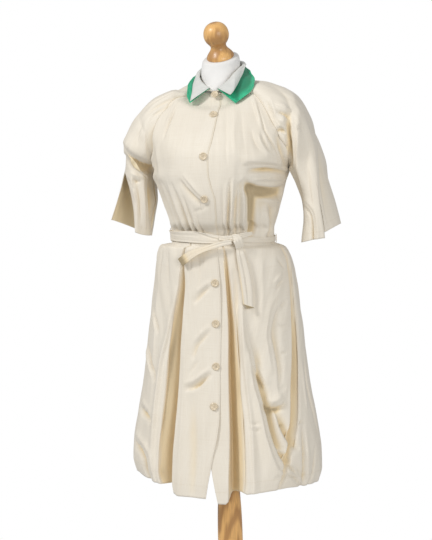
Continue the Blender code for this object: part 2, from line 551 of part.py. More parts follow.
def skirt_point(angle, drop, inset, hem):
    """Points of the skirt at an angle and a drop, set in towards the middle by inset."""
    a = np.radians(angle)
    wide, front, back = (skirt_size(k, drop) for k in ("half_width", "front", "back"))
    forward = np.cos(a)
    depth = np.where(forward > 0, front + SKIRT_CENTRE_Y, back - SKIRT_CENTRE_Y)
    x, y = wide * np.sin(a), -depth * forward
    radius = np.hypot(x, y)
    keep = (radius - inset) / radius
    hem_z = np.interp(angle, HEM_Z[hem]["angle"], HEM_Z[hem]["z"])
    rise = [np.interp(drop, SHELF["drop"], SHELF[side]) for side in ("right", "left")]
    z = SKIRT_TOP_Z - (SKIRT_TOP_Z - hem_z) * drop + rise[0] + (rise[1] - rise[0]) * (1 + np.sin(a)) / 2
    return np.stack([skirt_size("shift", drop) + x * keep, SKIRT_CENTRE_Y + y * keep, z], -1)


def skirt_grid(hem, drops, spans):
    """Rows from waist to hem. spans go round the panel from its first angle: ("to", angle at each drop,
    columns) or ("pleat", name, columns)."""
    grid = []
    for drop in drops:
        angles, insets = [float(spans[0](drop))], [0.0]
        for kind, what, columns in spans[1:]:
            share = np.arange(1, columns + 1) / columns
            if kind == "to":
                angles += list(angles[-1] + (what(drop) - angles[-1]) * share)
                insets += [0.0] * columns
                continue
            near, far, depth, bottom = (float(pleat_value(what, k, drop)) for k in PLEAT_COLUMNS)
            angles += list(near + (far - near) * share)
            profile = np.where(share < bottom, share / bottom, (1 - share) / (1 - bottom))
            insets += list(depth * np.sin(profile * math.pi / 2) ** 1.2)
        angles, insets = np.array(angles), np.array(insets)
        if hem == "left_front":
            over = edge_angle("over", 0.0) + 3.0
            insets = insets + UNDERLAP * np.clip((over + 5.0 - angles) / 5.0, 0, 1)
        grid.append(skirt_point(angles, drop, insets, hem))
    return np.array(grid)


def lip(pleat, column):
    return lambda drop: float(pleat_value(pleat, column, drop))


def at(angle):
    return lambda drop: angle


# ---------------------------------------------------------------- collar, belt, buttons
def roll_line(angle):
    a = np.radians(angle)
    forward = np.cos(a)
    y = ROLL_CENTRE_Y - np.where(forward > 0, ROLL_FORWARD, ROLL_BACKWARD) * forward
    turned_to = (np.asarray(angle) + 180) % 360 - 180
    wide, z = (smooth(ROLL_LINE["angle"], ROLL_LINE[k], turned_to) for k in ("wide", "z"))
    return np.stack([wide * np.sin(a), y, z], -1)


def stand_grid(columns, rows):
    """The collar stand from its over end round the neck to its under end, which is tucked inside."""
    angle = np.linspace(STAND_LAP, -360 - STAND_LAP, columns)
    foot = neckline(angle) + (0, 0, SEAM)
    head = roll_line(angle)
    tuck = UNDERLAP * np.clip((-300 - angle) / 30, 0, 1)[:, None]
    inward = np.stack([-np.sin(np.radians(angle)), np.cos(np.radians(angle)), 0 * angle], -1) * tuck
    share = np.linspace(0, 1, rows)[:, None, None]
    return foot + inward + (head - foot) * share


def leaf_grid(colour, columns, rows):
    """A collar leaf: columns from the left front round the back to the right front, rows from the stand
    over the roll line to the outer edge."""
    halves = []
    for side, sign in (("left", 1), ("right", -1)):
        edge_table = LEAVES[colour, side]
        start = edge_table["angle"][0]
        angle = start + (180 - start) * np.linspace(0, 1, columns) ** 1.15
        edge = np.stack([smooth(edge_table["angle"], edge_table[k], angle) for k in "xyz"], -1)
        base = roll_line(sign * angle) * (sign, 1, 1)
        out = np.stack([np.sin(np.radians(angle)), -np.cos(np.radians(angle)), 0 * angle], -1)
        settle = np.clip((angle - start) / 40, 0, 1)[:, None]
        rise = 0.45 + 0.55 * settle
        spread = 1.0 if side == "left" else 0.75
        lines = [base + out * a * (spread if a > 0 else 1) + (0, 0, 4 * SEAM) + rise * (0, 0, b)
                 for a, b in ROLL_PATH[colour]]
        hang_out, hang_up = (0.5 + (h - 0.5) * settle for h in HANG[colour])
        last = lines[-1]
        bend = np.concatenate([last[:, :2] + hang_out * (edge - last)[:, :2],
                               edge[:, 2:] + hang_up * (last - edge)[:, 2:]], -1)
        for t in np.linspace(0, 1, rows + 1)[1:]:
            lines.append((1 - t) ** 2 * last + 2 * t * (1 - t) * bend + t * t * edge)
        grid = np.array(lines)
        grid[..., 0] *= sign
        halves.append(grid)
    return np.concatenate([halves[0], halves[1][:, -2::-1]], axis=1)


def belt_ellipse(angle, out=0.0):
    """Points of the belt's face at angles in degrees from centre front, moved out."""
    a = np.radians(angle)
    deep = np.where(np.cos(a) > 0, BELT_FRONT + SKIRT_CENTRE_Y, BELT_BACK - SKIRT_CENTRE_Y) + out
    return (BELT_WIDE + out) * np.sin(a), SKIRT_CENTRE_Y - deep * np.cos(a)


def belt_grid(columns):
    angle = np.linspace(-180, 180, columns, endpoint=False)
    z, height = (smooth(BELT_BAND["angle"], BELT_BAND[k], angle) for k in ("z", "height"))
    x, y = belt_ellipse(angle)
    return np.array([np.stack([x, y, z + height * up], -1) for up in (-0.5, 0.0, 0.5)])


def loop_grid(side):
    loop = LOOPS[side]
    half_angle = math.degrees(LOOP_WIDTH / 2 / BELT_WIDE)
    grid = []
    for share, out in LOOP_PATH:
        x, y = belt_ellipse(loop["angle"] + np.array([-half_angle, 0, half_angle]), out)
        grid.append(np.stack([x, y, np.full(3, loop["z"] + share * loop["height"])], -1))
    return np.array(grid)


def tail_grid(tail, rows, across):
    """A belt tail as a ribbon along its path, twisted about it."""
    path = TAILS[tail]
    at = np.linspace(0, len(path["x"]) - 1, rows)
    centre = np.stack([smooth(np.arange(len(path["x"])), path[k], at) for k in "xyz"], -1)
    width, twist = (smooth(np.arange(len(path["x"])), path[k], at) for k in ("width", "twist"))
    along = np.gradient(centre, axis=0)
    facing = math.radians(TAIL_FACING[tail])
    grid = []
    for c, direction, w, t in zip(centre, along, width, twist):
        face = Vector((math.sin(facing), -math.cos(facing), 0))
        side = Vector(direction).cross(face).normalized()
        side.rotate(Matrix.Rotation(math.radians(t), 3, Vector(direction).normalized()))
        grid.append([c + w * s * np.array(side) for s in np.linspace(-0.5, 0.5, across)])
    return np.array(grid)


def front_surface(x, z):
    """A point of the outer face of the right front at this x and height."""
    if z > WAIST_Z:
        sections = FRONT_SECTIONS["right"]
        position = np.interp(z, sections["z"], np.arange(len(sections["z"])))
        row = section_row(sections, position)
        turn = math.radians(row["turn"])
        bend = math.asin(abs(x) / row["seam_x"] * math.sin(turn))
        return Vector((x, half_section(sections, position, bend / turn, -1)[1], z))
    drop = (SKIRT_TOP_Z - z) / (SKIRT_TOP_Z - 0.436)
    angle = math.degrees(math.asin((x - skirt_size("shift", drop)) / skirt_size("half_width", drop)))
    return Vector((x, skirt_point(angle, drop, 0.0, "right_front")[1], z))


def on_surface(point, x, z):
    """A frame whose Z axis leaves the cloth at this point, a shank's length off it."""
    up = (front_surface(x, z + 0.002) - front_surface(x, z - 0.012)).normalized()
    right = (front_surface(x + 0.008, z) - front_surface(x - 0.008, z)).normalized()
    out = right.cross(up)
    frame = Matrix((right, up, out)).transposed().to_4x4()
    frame.translation = point + out * SHANK
    return frame


# ---------------------------------------------------------------- build
def clear_scene():
    for obj in list(bpy.data.objects):
        bpy.data.objects.remove(obj)


clear_scene()
PARTS = bpy.data.collections.new("shirt_dress_on_form")
bpy.context.scene.collection.children.link(PARTS)
CLOTH_CREAM = finish_material("dress_cotton", CREAM, 0.75)
CLOTH_WHITE = finish_material("collar_cotton", WHITE, 0.8)
CLOTH_GREEN = finish_material("collar_satin", GREEN, 0.45)
FORM_COVER = finish_material("form_cover", WHITE, 0.85)
BUTTON = finish_material("button_horn", HORN, 0.35)
TURNED_WOOD = finish_material("stand_wood", WOOD, 0.4)


def build_bodice():
    rows = bodice_rows(6, 5)
    for side, outward in (("left", 1), ("right", -1)):
        grid = trimmed(front_grid(side, rows, 8), last=side_gap(rows), top=SEAM)
        sheet(f"bodice_front_{side}", grid, CLOTH, CLOTH_CREAM, outward)
    grid = trimmed(back_grid(rows, 6), first=side_gap(rows), last=side_gap(rows), top=SEAM)
    sheet("bodice_back", grid, CLOTH, CLOTH_CREAM, -1)


def build_sleeves():
    ring_rows, half = (0.4, 0.9, 1.5, 2.0, 2.5, 3.0, 3.5, 4.0), 8
    upper = bodice_rows(6, 5)[6:]
    for side, outward in (("left", -1), ("right", 1)):
        grid = trimmed(sleeve_grid(side, upper, ring_rows, half), first=SEAM, last=SEAM, bottom=SEAM)
        step = VENT[side]["step"]
        front, back = slit_sleeve(grid, side, ring_rows, step)
        top = len(upper) + ring_rows.index(VENT[side]["top"])
        sheet(f"sleeve_{side}", back, CLOTH, CLOTH_CREAM, outward, cut=(top, step, front))


def build_skirt():
    drops = SKIRT_SECTIONS["drop"]
    right = [lambda d: edge_angle("over", d), ("to", lip("right_front", "near"), 4),
             ("pleat", "right_front", 4), ("to", at(-60), 3), ("to", at(SIDE_SEAM_RIGHT), 4)]
    left = [lambda d: edge_angle("under", d), ("to", lip("left_front", "near"), 2),
            ("pleat", "left_front", 4), ("to", lip("left_side", "near"), 5),
            ("pleat", "left_side", 4), ("to", at(SIDE_SEAM_LEFT), 3)]
    back = [at(SIDE_SEAM_LEFT), ("to", lip("back_left", "near"), 4), ("pleat", "back_left", 4),
            ("to", lip("back_right", "near"), 5), ("pleat", "back_right", 4),
            ("to", lip("right_side", "near"), 3), ("pleat", "right_side", 4),
            ("to", at(360 + SIDE_SEAM_RIGHT), 1)]
    gap = np.where(drops > 0.5, 2 * SEAM, SEAM)
    for name, hem, spans, first_gap, outward in (("skirt_front_right", "right_front", right, 0.0, 1),
                                                 ("skirt_front_left", "left_front", left, 0.0, -1),
                                                 ("skirt_back", "back", back, gap, -1)):
        grid = trimmed(skirt_grid(hem, drops, spans), first=first_gap, last=gap)
        sheet(name, grid, CLOTH, CLOTH_CREAM, outward)


def build_collar():
    sheet("collar_stand", stand_grid(44, 3), LEAF, CLOTH_CREAM, -1)
    sheet("collar_green", leaf_grid("green", 15, 4), LEAF, CLOTH_GREEN, -1)
    sheet("collar_white", leaf_grid("white", 15, 4), LEAF, CLOTH_WHITE, -1)


def build_belt():
    sheet("belt_band", belt_grid(40), CLOTH, CLOTH_CREAM, 1, closed=True)
    for side in LOOPS:
        sheet(f"belt_loop_{side}", loop_grid(side), LEAF, CLOTH_CREAM, 1)
    sheet("belt_tail_long", tail_grid("long", 12, 3), CLOTH, CLOTH_CREAM, 1)
    sheet("belt_tail_short", tail_grid("short", 12, 3), CLOTH, CLOTH_CREAM, 1)
    angle = np.linspace(0, 2 * math.pi, 16, endpoint=False)
    facing = math.atan2(KNOT["x"][3], -KNOT["y"][3] + SKIRT_CENTRE_Y)
    rings = []
    for z, x, y, wide, deep in zip(*(KNOT[k] for k in ("z", "x", "y", "half_width", "half_depth"))):
        u, v = wide * np.cos(angle), deep * np.sin(angle)
        rings.append(np.stack([x + u * math.cos(facing) - v * math.sin(facing),
                               y + u * math.sin(facing) + v * math.cos(facing), np.full(16, z)], -1))
    loft("belt_knot", rings, CLOTH_CREAM)


def build_buttons():
    for number, (x, z) in enumerate(zip(BUTTONS["x"], BUTTONS["z"]), 1):
        point = front_surface(x, z)
        turned(f"button_{number}", BUTTON_PROFILE, 20, BUTTON, on_surface(point, x, z))


def ellipse_ring(y, z, half_width, front, back, tilt=0.0, lean=0.0, count=32):
    """A ring of the form round its axis, tilted forward and leaning to the right by these degrees."""
    angle = np.linspace(0, 2 * math.pi, count, endpoint=False)
    deep = np.where(np.cos(angle) > 0, front, back) * -np.cos(angle)
    wide = half_width * np.sin(angle)
    tilt, lean = math.radians(tilt), math.radians(lean)
    return np.stack([wide * math.cos(lean), y + deep * math.cos(tilt),
                     z + deep * math.sin(tilt) + wide * math.sin(lean)], -1)


def build_form():
    order = ("centre_y", "z", "half_width", "front", "back")
    loft("form_torso", [ellipse_ring(*ring) for ring in zip(*(TORSO[k] for k in order))], FORM_COVER)
    order += ("tilt", "lean")
    loft("form_neck", [ellipse_ring(*ring) for ring in zip(*(FORM_NECK[k] for k in order))], FORM_COVER)
    plate = Vector((0, FORM_NECK["centre_y"][-1], FORM_NECK["z"][-1]))
    frame = (Matrix.Translation(plate) @ Matrix.Rotation(math.radians(PLATE_TILT), 4, "X")
             @ Matrix.Rotation(math.radians(-FINIAL_LEAN), 4, "Y"))
    turned("finial", FINIAL, 28, TURNED_WOOD, frame)
    turned("post", POST, 24, TURNED_WOOD)
    turned("base", BASE, 48, TURNED_WOOD)


build_bodice()
build_sleeves()
build_skirt()
build_collar()
build_belt()
build_buttons()
build_form()
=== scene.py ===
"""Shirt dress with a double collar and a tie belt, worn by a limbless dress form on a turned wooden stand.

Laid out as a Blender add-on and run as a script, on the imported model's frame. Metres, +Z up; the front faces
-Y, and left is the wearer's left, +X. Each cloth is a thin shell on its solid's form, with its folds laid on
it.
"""
import json
import math

import bmesh
import bpy
import numpy as np
from bpy.props import FloatProperty, FloatVectorProperty, PointerProperty
from mathutils import Matrix, Quaternion, Vector

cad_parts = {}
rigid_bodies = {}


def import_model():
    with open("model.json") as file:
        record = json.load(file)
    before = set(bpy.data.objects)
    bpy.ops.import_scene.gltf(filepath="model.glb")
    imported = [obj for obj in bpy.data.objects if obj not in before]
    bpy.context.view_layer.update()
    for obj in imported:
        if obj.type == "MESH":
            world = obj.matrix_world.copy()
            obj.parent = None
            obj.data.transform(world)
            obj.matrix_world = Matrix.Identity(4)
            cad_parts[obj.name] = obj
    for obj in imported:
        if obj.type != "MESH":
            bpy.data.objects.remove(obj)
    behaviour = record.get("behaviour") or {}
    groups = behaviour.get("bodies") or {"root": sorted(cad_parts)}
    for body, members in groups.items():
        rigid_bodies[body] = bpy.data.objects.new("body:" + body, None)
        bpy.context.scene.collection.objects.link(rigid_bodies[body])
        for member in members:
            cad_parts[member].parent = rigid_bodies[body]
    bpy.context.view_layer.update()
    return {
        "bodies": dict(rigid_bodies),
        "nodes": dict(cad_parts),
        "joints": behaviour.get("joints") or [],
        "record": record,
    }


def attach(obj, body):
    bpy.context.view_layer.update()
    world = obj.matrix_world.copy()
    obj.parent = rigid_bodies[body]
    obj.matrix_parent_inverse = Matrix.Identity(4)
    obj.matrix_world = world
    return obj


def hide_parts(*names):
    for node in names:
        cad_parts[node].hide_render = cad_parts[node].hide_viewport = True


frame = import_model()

bl_info = {
    "name": "Shirt dress on a dress form",
    "version": (1, 0, 0),
    "blender": (4, 5, 0),
    "location": "3D View > Sidebar > Dress",
    "description": "Builds a belted shirt dress, its dress form and its turned stand",
    "category": "Object",
}

# ------------ sizes shared with the solids
WALL = 0.0011  # thickness of the dress's cloth
LEAF_WALL = 0.0010  # thickness of a collar leaf
SEAM = 0.0003  # gap left at a seam
UNDERLAP = 0.0014  # how far the under side of the front closing lies behind the over side
SHANK = 0.0007  # thread between a button and the cloth
# How far inside an edge each line of stitches runs, and how far it stands over the cloth.
HEM_STITCH, CUFF_STITCH, EDGE_STITCH, LEAF_STITCH, STITCH_LIFT = 0.030, 0.018, 0.0035, 0.0042, 0.00015
WAIST_Z = 1.056
SHOULDER_Y = 0.014
RAGLAN_FRONT, RAGLAN_BACK = 48.0, 128.0  # where the raglan seams meet the neck, in degrees
CUFF_ROW = 4.0  # place of the cuff in the sleeve's tables
FRONT_HEM_Z = 0.436
SIGN = {"left": 1, "right": -1}
NOT_LENGTHS = "turn twist angle at drop near far bottom tilt lean share".split()


def table(columns, rows):
    """Columns by name, from rows parted by commas, in which lengths are in mm."""
    names = columns.split()
    values = np.array(rows.replace(",", " ").split(), float).reshape(-1, len(names)).T
    return {name: v if name in NOT_LENGTHS else v / 1000 for name, v in zip(names, values)}


# Half-sections of the bodice from waist to neck, each from the centre line to the side seam, or to the
# raglan seam above the underarm. turn is the angle that a section bends through, edge how far the free edge
# passes the centre line, shift how far a section hangs to the left.
FRONT_SECTIONS = {"left": table("z out seam_x seam_y seam_z turn edge shift", """
    1056 108 129.5 12 1056 90 15.5 0, 1083 109.4 130.3 12 1083 90 15.5 0,
    1101 133 134.5 12 1101 90 16.5 1, 1124 144 139 11 1124 90 18 3, 1160 155 149 10 1160 90 19 3,
    1195 161 161 10 1195 90 13 1, 1225 162 173 10 1225 90 9 0, 1264 158 181 -48 1264 76 8.5 0,
    1308 138 164 -74 1316 66 15.5 0, 1350 104 137 -64 1366 58 18 0, 1389 69 102 -44 1411 54 19 0,
    1422.5 41 46.1 -17.5 1432.3 50 15 0""")}
# The right front is drawn in above the underarm, where the sleeve hangs over it.
FRONT_SECTIONS["right"] = dict(FRONT_SECTIONS["left"], **table("seam_x seam_y", """
    129.5 12, 130.3 12, 134.5 12, 139 11, 149 10, 161 10, 173 10, 160 -56, 155 -79, 134 -67, 102 -44,
    46.1 -17.5"""))
BACK_SECTIONS = table("z out seam_x seam_y seam_z turn", """
    1056 98 129.5 12 1056 90, 1083 99.3 130.3 12 1083 90, 1101 105 134.5 12 1101 90,
    1124 109.5 139 11 1124 90, 1160 114 149 10 1160 90, 1195 118 161 10 1195 90,
    1225 120 173 10 1225 90, 1268 121 178 66 1264 76, 1316 121 160 92 1318 66, 1362 118 132 92 1368 58,
    1415 108 98 82 1420 54, 1474 90 48.9 67 1465.5 52""")
UNDERARM_ROW, NECK_ROW = 6, 11

# The neckline: an ellipse round the neck, lower in front.
NECK_WIDE, NECK_CENTRE_Y, NECK_FORWARD, NECK_BACKWARD = 0.062, 0.030, 0.071, 0.060
NECK_FRONT_Z, NECK_SIDE_Z, NECK_BACK_Z = 1.4225, 1.452, 1.474

# Sleeve sections from underarm to neck: the crest over the shoulder, and the reach before and behind it.
CREST = {
    "left": table("x z forward backward", """
        248 1286 74 74, 228 1350 84 82, 199 1402 91 90, 155 1431 80 84, 108 1447 60 72, 62 1452 40 45"""),
    "right": table("x z forward backward", """
        245 1306 76 74, 223 1354 86 82, 194 1388 91 90, 156 1418 80 84, 108 1434 60 72, 62 1452 40 45"""),
}
# Sleeve sections below the underarm: their inner and outer ends and their reach. The right sleeve overhangs
# at the upper arm, so its reach drops at once.
SLEEVE_RINGS = {
    "left": table("at in_x in_z out_x out_z forward backward", """
        0.5 182 1208 255 1260 72 73, 1 190 1188 262 1236 70 72, 2 202 1144 274 1185 67 70,
        3 205 1098 285 1142 65 68, 4 199 1046 297 1094 62 66"""),
    "right": table("at in_x in_z out_x out_z forward backward", """
        0.3 175 1217 244.5 1290 80 72, 0.65 174.5 1207 244.5 1271 62 71, 1 174 1195 245 1255 61 70,
        2 171 1158 254 1212 60 68, 3 178 1117 269 1168 59 64, 4 188 1068 288.5 1116 58 58"""),
}
# The slit in each cuff: the sleeve section it climbs to, its place round the cuff, how far the front flap
# is drawn in, back and down at the hem, and how far the back flap drops at its edge and behind.
VENT = {
    "left": dict(top=1.5, step=5, draw_in=0, draw_back=0, front_drop=0.02, edge_drop=0.006, back_drop=0),
    "right": dict(top=1.5, step=7, draw_in=0.82, draw_back=0.022, front_drop=0.037, edge_drop=0.005,
                  back_drop=0.012),
}

# Skirt sections. drop runs from 0 at the waist seam to 1 at the hem.
SKIRT_TOP_Z = WAIST_Z - SEAM
SKIRT_SECTIONS = table("drop half_width front back shift", """
    0 129.5 108 98 0, 0.018 130 108.5 98.5 0, 0.034 157 112 110 -2, 0.09 172 113 122 0,
    0.18 180 114 134 1, 0.3 190 119 145 1, 0.45 201 127 156 -1, 0.6 212 139 168 -2, 0.75 229 154 180 -3,
    0.87 239.5 165 188 -5, 0.95 241 170 190 -6, 1 233 171 188 -6""")
SKIRT_CENTRE_Y = 0.012
# The gathers stand out under the belt, higher on the right: each section's rise on either side.
SHELF = table("drop right left", "0 0 0, 0.018 4.5 0.8, 0.034 9 1.5, 0.18 0 0")
# Deep unpressed pleats at the waist, half way and at the hem. Angles run from centre front, + to the left.
# near and far are the two lips, and bottom is the place of the deepest line between them.
PLEATS = {
    "right_front": table("near far depth bottom", "-25 -27.5 3 0.35, -25.5 -36 46 0.4, -25 -35 52 0.75"),
    "left_front": table("near far depth bottom", "10.5 13 3 0.4, 10.8 16.8 40 0.4, 10.5 20 58 0.45"),
    "left_side": table("near far depth bottom", "78 86 4 0.5, 62 71 34 0.5, 41 45 3 0.5"),
    "back_left": table("near far depth bottom", "140 144 3 0.5, 141 149 24 0.5, 138 150 34 0.5"),
    "back_right": table("near far depth bottom", "216 220 3 0.5, 212 220 22 0.5, 209 221 32 0.5"),
    "right_side": table("near far depth bottom", "259 265 3 0.5, 256 264 26 0.5, 253 262 12 0.5"),
}
PLEAT_ROWS = (0.0, 0.5, 1.0)
HEM_Z = {
    "right_front": table("angle z", "-96 477, -60 477, -45 468, -30 461, -26 448, -22 440, 8 436"),
    "left_front": table("angle z", "-8 426, 9 424, 13 440, 19 452, 22 447, 50 455, 92 447"),
    "back": table("angle z", "92 447, 130 455, 180 460, 230 464, 269 476"),
}
SIDE_SEAM_LEFT, SIDE_SEAM_RIGHT = 92.0, -91.0
# The free front edges of the skirt: the distance past the centre line, + to the wearer's left.
FRONT_EDGE = table("drop over under", "0 15 -16, 0.3 19 -18, 0.68 18 -20, 0.87 2 1, 1 -12 17")

# The collar's leaves fall from a roll line round the neck to edges given by a point for each angle. The
# left leaves spread over the shoulder, and the right ones hug the neck.
ROLL_CENTRE_Y, ROLL_FORWARD, ROLL_BACKWARD = 0.036, 0.077, 0.055
ROLL_LINE = table("angle wide z", """
    -180 53.5 1493, -140 53 1486, -106 52.2 1474, -90 52.2 1467, -75 52.5 1459, -52 53 1446,
    -30 54 1435, 0 55 1424, 30 55 1437, 52 55 1457, 75 55 1472, 90 55 1478, 106 54.8 1484, 140 54 1491,
    180 53.5 1493""")
STAND_LAP = 13.0  # degrees each end of the collar stand passes the centre
LEAVES = {
    ("white", "left"): table("angle x y z", """
        8 50 -85 1412, 30 54.5 -66 1421.5, 52 56 -46 1431, 70 60.5 -22 1449, 85 65 2 1468.5,
        100 66 25 1486.5, 120 60 58 1489, 140 46 86 1484, 160 25 103 1476, 180 0 108 1475"""),
    ("white", "right"): table("angle x y z", """
        11 54.2 -72 1400, 30 54.9 -62.4 1406.4, 52 56.1 -47.4 1416.6, 70 59 -20 1440, 85 60.5 14 1461,
        100 60 38 1475, 120 57 62 1480, 140 45 86 1477, 160 25 103 1476, 180 0 108 1475"""),
    ("green", "left"): table("angle x y z", """
        9 59.1 -72 1391, 30 71.9 -65 1401, 50 83.2 -55 1411.4, 66 94.9 -46.5 1422.4, 78 99.5 -40 1435,
        90 96 -14 1451, 103 82.3 12 1465.5, 115 74.5 35 1475, 130 68 66 1471, 145 52 94 1466,
        162 28 112 1461, 180 0 118 1459"""),
    ("green", "right"): table("angle x y z", """
        12 55.7 -68 1396, 30 61 -60 1402.6, 50 68 -46.5 1415.2, 66 70.5 -30.5 1430.2, 78 73.5 -11 1443,
        90 69.5 11 1457, 103 67 30 1464, 115 65 48 1468, 130 61 74 1467, 145 49 96 1464,
        162 28 112 1460, 180 0 118 1459"""),
}
# The path each leaf takes over the roll line: outward and upward from the top of the stand.
ROLL_PATH = {
    "white": ((-0.0014, 0.0000), (-0.0012, 0.0060), (0.0012, 0.0092), (0.0058, 0.0092)),
    "green": ((0.0004, 0.0000), (0.0006, 0.0030), (0.0024, 0.0050), (0.0052, 0.0042)),
}
# How the leaf hangs between its roll and its edge, as the place of a bending point: out and up.
HANG = {"white": (0.60, 0.60), "green": (0.20, 0.40)}

# The tie belt: an ellipse at the waist, folded narrower in front, and two tails that hang from the knot.
BELT_WIDE, BELT_FRONT, BELT_BACK = 0.1326, 0.1113, 0.1013
BELT_BAND = table("angle z height", """
    -180 1060 24, -110 1066 24, -70 1070 24, -40 1067 21, -10 1060.5 14, 0 1059.5 13, 25 1062 13,
    60 1056.5 13, 90 1056 12.5, 130 1058 19, 180 1060 24""")
TAILS = {
    "long": table("x y z width twist", """
        68 -106 1042.4 17 0, 70.5 -111 1026 20 0, 74.5 -109.5 1004 24 4, 78.5 -108.5 980 26 6,
        82 -109 955 27 4, 85 -110.5 930 27 0, 86.5 -113 908 26 -6, 89 -116 896 22 -14"""),
    "short": table("x y z width twist", """
        50 -114 1057.5 11 0, 30 -122.5 1054.5 12 0, 9 -125 1049 13 10, -12 -125 1043 14 20,
        -32 -123.5 1036 17 25, -52 -120 1027 21 15, -68 -116.5 1017 22 5, -80 -113.5 1008 22 0"""),
}
TAIL_FACING = {"long": 30.0, "short": -14.0}  # the way each tail faces, in degrees from centre front
# Thread loops that carry the belt at the side seams, and their path over it: a share of their height, and
# a distance out from the belt's face.
LOOPS = {"right": dict(angle=-88, z=1.0700, height=0.034), "left": dict(angle=93, z=1.0570, height=0.0215)}
LOOP_PATH = table("share out", "-0.5 -0.6, -0.41 1.9, 0 2.2, 0.41 1.9, 0.5 -0.6")

# The button row, down the right front.
BUTTONS = table("z x", """
    1414.5 3, 1365.3 8.5, 1265.4 -3.5, 1163.3 -4.5, 957.6 6, 858.8 6.5, 755.3 6.5, 659 2""")

# The dress form under the cloth: rings from its base to the neck.
TORSO = table("z half_width front back centre_y", """
    790 100 80 78 12, 794 112 90 90 12, 830 128 98 104 12, 890 138 100 110 12, 960 136 98 104 12,
    1020 124 94 86 12, 1060 116 92 78 12, 1110 120 110 81 12, 1160 130 136 90 12, 1210 144 146 97 12,
    1260 155 138 100 12, 1310 161 112 98 14, 1350 162 84 94 16, 1380 154 64 86 18, 1400 136 52 78 20,
    1414 110 46 70 23, 1424 84 46 58 26""")
FORM_NECK = table("z half_width front back centre_y tilt lean", """
    1424.4 57.5 62 49 31 0 0, 1432 54.5 59.5 47 33 0 0, 1444 51 54.5 45 35 2 0, 1458 49.8 51 44 36 6 0,
    1471 49.5 49 44 37 11 0, 1484 48.8 47.5 45 38 17 1, 1496 47.8 46.5 45.5 39 21 3,
    1504.5 46.2 45 45 38.5 23 4, 1508 43 43 43 38 23 4""")
PLATE_TILT, FINIAL_LEAN = 23.0, 4.0
FINIAL = table("radius height", """
    0 0.6, 33 0.6, 34.5 3.5, 33 8.5, 29 14.5, 24 20.5, 20.8 25.5, 19.6 30, 20.2 34.5, 24 40, 28.3 46.5,
    31 54, 31.8 61, 30.6 70, 26.8 79, 20 86.5, 10.5 91, 0 92.5""")
POST = table("radius height", """
    0 30.3, 34 30.3, 36 36, 34 44, 26 56, 24.5 80, 27 140, 30.5 230, 31.5 300, 30.5 360, 27.5 420,
    25.5 500, 24 650, 24 789.5, 0 789.5""")
BASE = table("radius height", "0 0, 190 0, 194 4, 194 16, 190 22, 175 26, 60 30, 0 30")


# ------------ curves and grids
def smooth(knots, values, at):
    """Monotone cubic through a few values, which never overshoots them."""
    knots, values, at = (np.asarray(a, float) for a in (knots, values, at))
    step = np.diff(knots)
    slope = np.diff(values) / step
    tangent = np.zeros_like(values)
    same_way = slope[:-1] * slope[1:] > 0
    tangent[1:-1][same_way] = 2 / (1 / slope[:-1][same_way] + 1 / slope[1:][same_way])
    tangent[0], tangent[-1] = slope[0], slope[-1]
    i = np.clip(np.searchsorted(knots, at, side="right") - 1, 0, len(step) - 1)
    t = np.clip((at - knots[i]) / step[i], 0, 1)
    rise = (1 + 2 * t) * (1 - t) ** 2 * values[i] + t * t * (3 - 2 * t) * values[i + 1]
    return rise + step[i] * t * (1 - t) * ((1 - t) * tangent[i] - t * tangent[i + 1])


def between(values, at):
    """The same curve through values that stand one step apart."""
    return smooth(np.arange(len(values)), values, at)


def row_of(sections, position):
    """One section between the rows of a table."""
    return {k: between(v, position) for k, v in sections.items()}


def drawn_out(sections, names, count):
    """Columns of a table, drawn out smoothly to this many rows."""
    steps = np.linspace(0, len(sections[names.split()[0]]) - 1, count)
    return [between(sections[k], steps) for k in names.split()]


def ramp(start, end, at):
    """Rises softly from 0 at start to 1 at end."""
    t = np.clip((at - start) / (end - start), 0, 1)
    return t * t * (3 - 2 * t)


def oval(angle, wide, front, back):
    """x and y at angles in degrees from the front, round an ellipse deeper on one side."""
    a = np.radians(angle)
    return wide * np.sin(a), -np.where(np.cos(a) > 0, front, back) * np.cos(a)


def outward_at(angle):
    """The level way out from the middle at an angle in degrees from the front."""
    return np.stack([np.sin(np.radians(angle)), -np.cos(np.radians(angle)), 0 * np.asarray(angle)], -1)


def unit(vectors):
    return vectors / np.maximum(np.linalg.norm(vectors, axis=-1, keepdims=True), 1e-12)


def trimmed(grid, first=0.0, last=0.0, bottom=0.0, top=0.0):
    """The sheet with its borders drawn in by these distances. first and last may hold one for each row."""
    grid = grid.copy()
    first, last = (np.asarray(by, float).reshape(-1, 1) for by in (first, last))
    for edge, beside, by in ((grid[:, 0], grid[:, 1], first), (grid[:, -1], grid[:, -2], last),
                             (grid[0], grid[1], bottom), (grid[-1], grid[-2], top)):
        edge += by * unit(beside - edge)
    return grid


def normals(grid):
    """Unit normals of a grid of points: along a row crossed with up the columns."""
    return unit(np.cross(np.gradient(grid, axis=1), np.gradient(grid, axis=0)))


def softened(values, times, axis=1):
    """Values evened out with their neighbours along one axis, with the two ends held."""
    values = np.moveaxis(values.copy(), axis, 0)
    for _ in range(times):
        values[1:-1] = 0.5 * values[1:-1] + 0.25 * (values[:-2] + values[2:])
    return np.moveaxis(values, 0, axis)


# ------------ forms of the worn cloth
def neckline(angle):
    """Points of the neck seam at angles in degrees from centre front."""
    x, y = oval(angle, NECK_WIDE, NECK_FORWARD, NECK_BACKWARD)
    rise = -oval(angle, 0, NECK_FRONT_Z - NECK_SIDE_Z, NECK_SIDE_Z - NECK_BACK_Z)[1]
    return np.stack([x, NECK_CENTRE_Y + y, NECK_SIDE_Z + rise], -1)


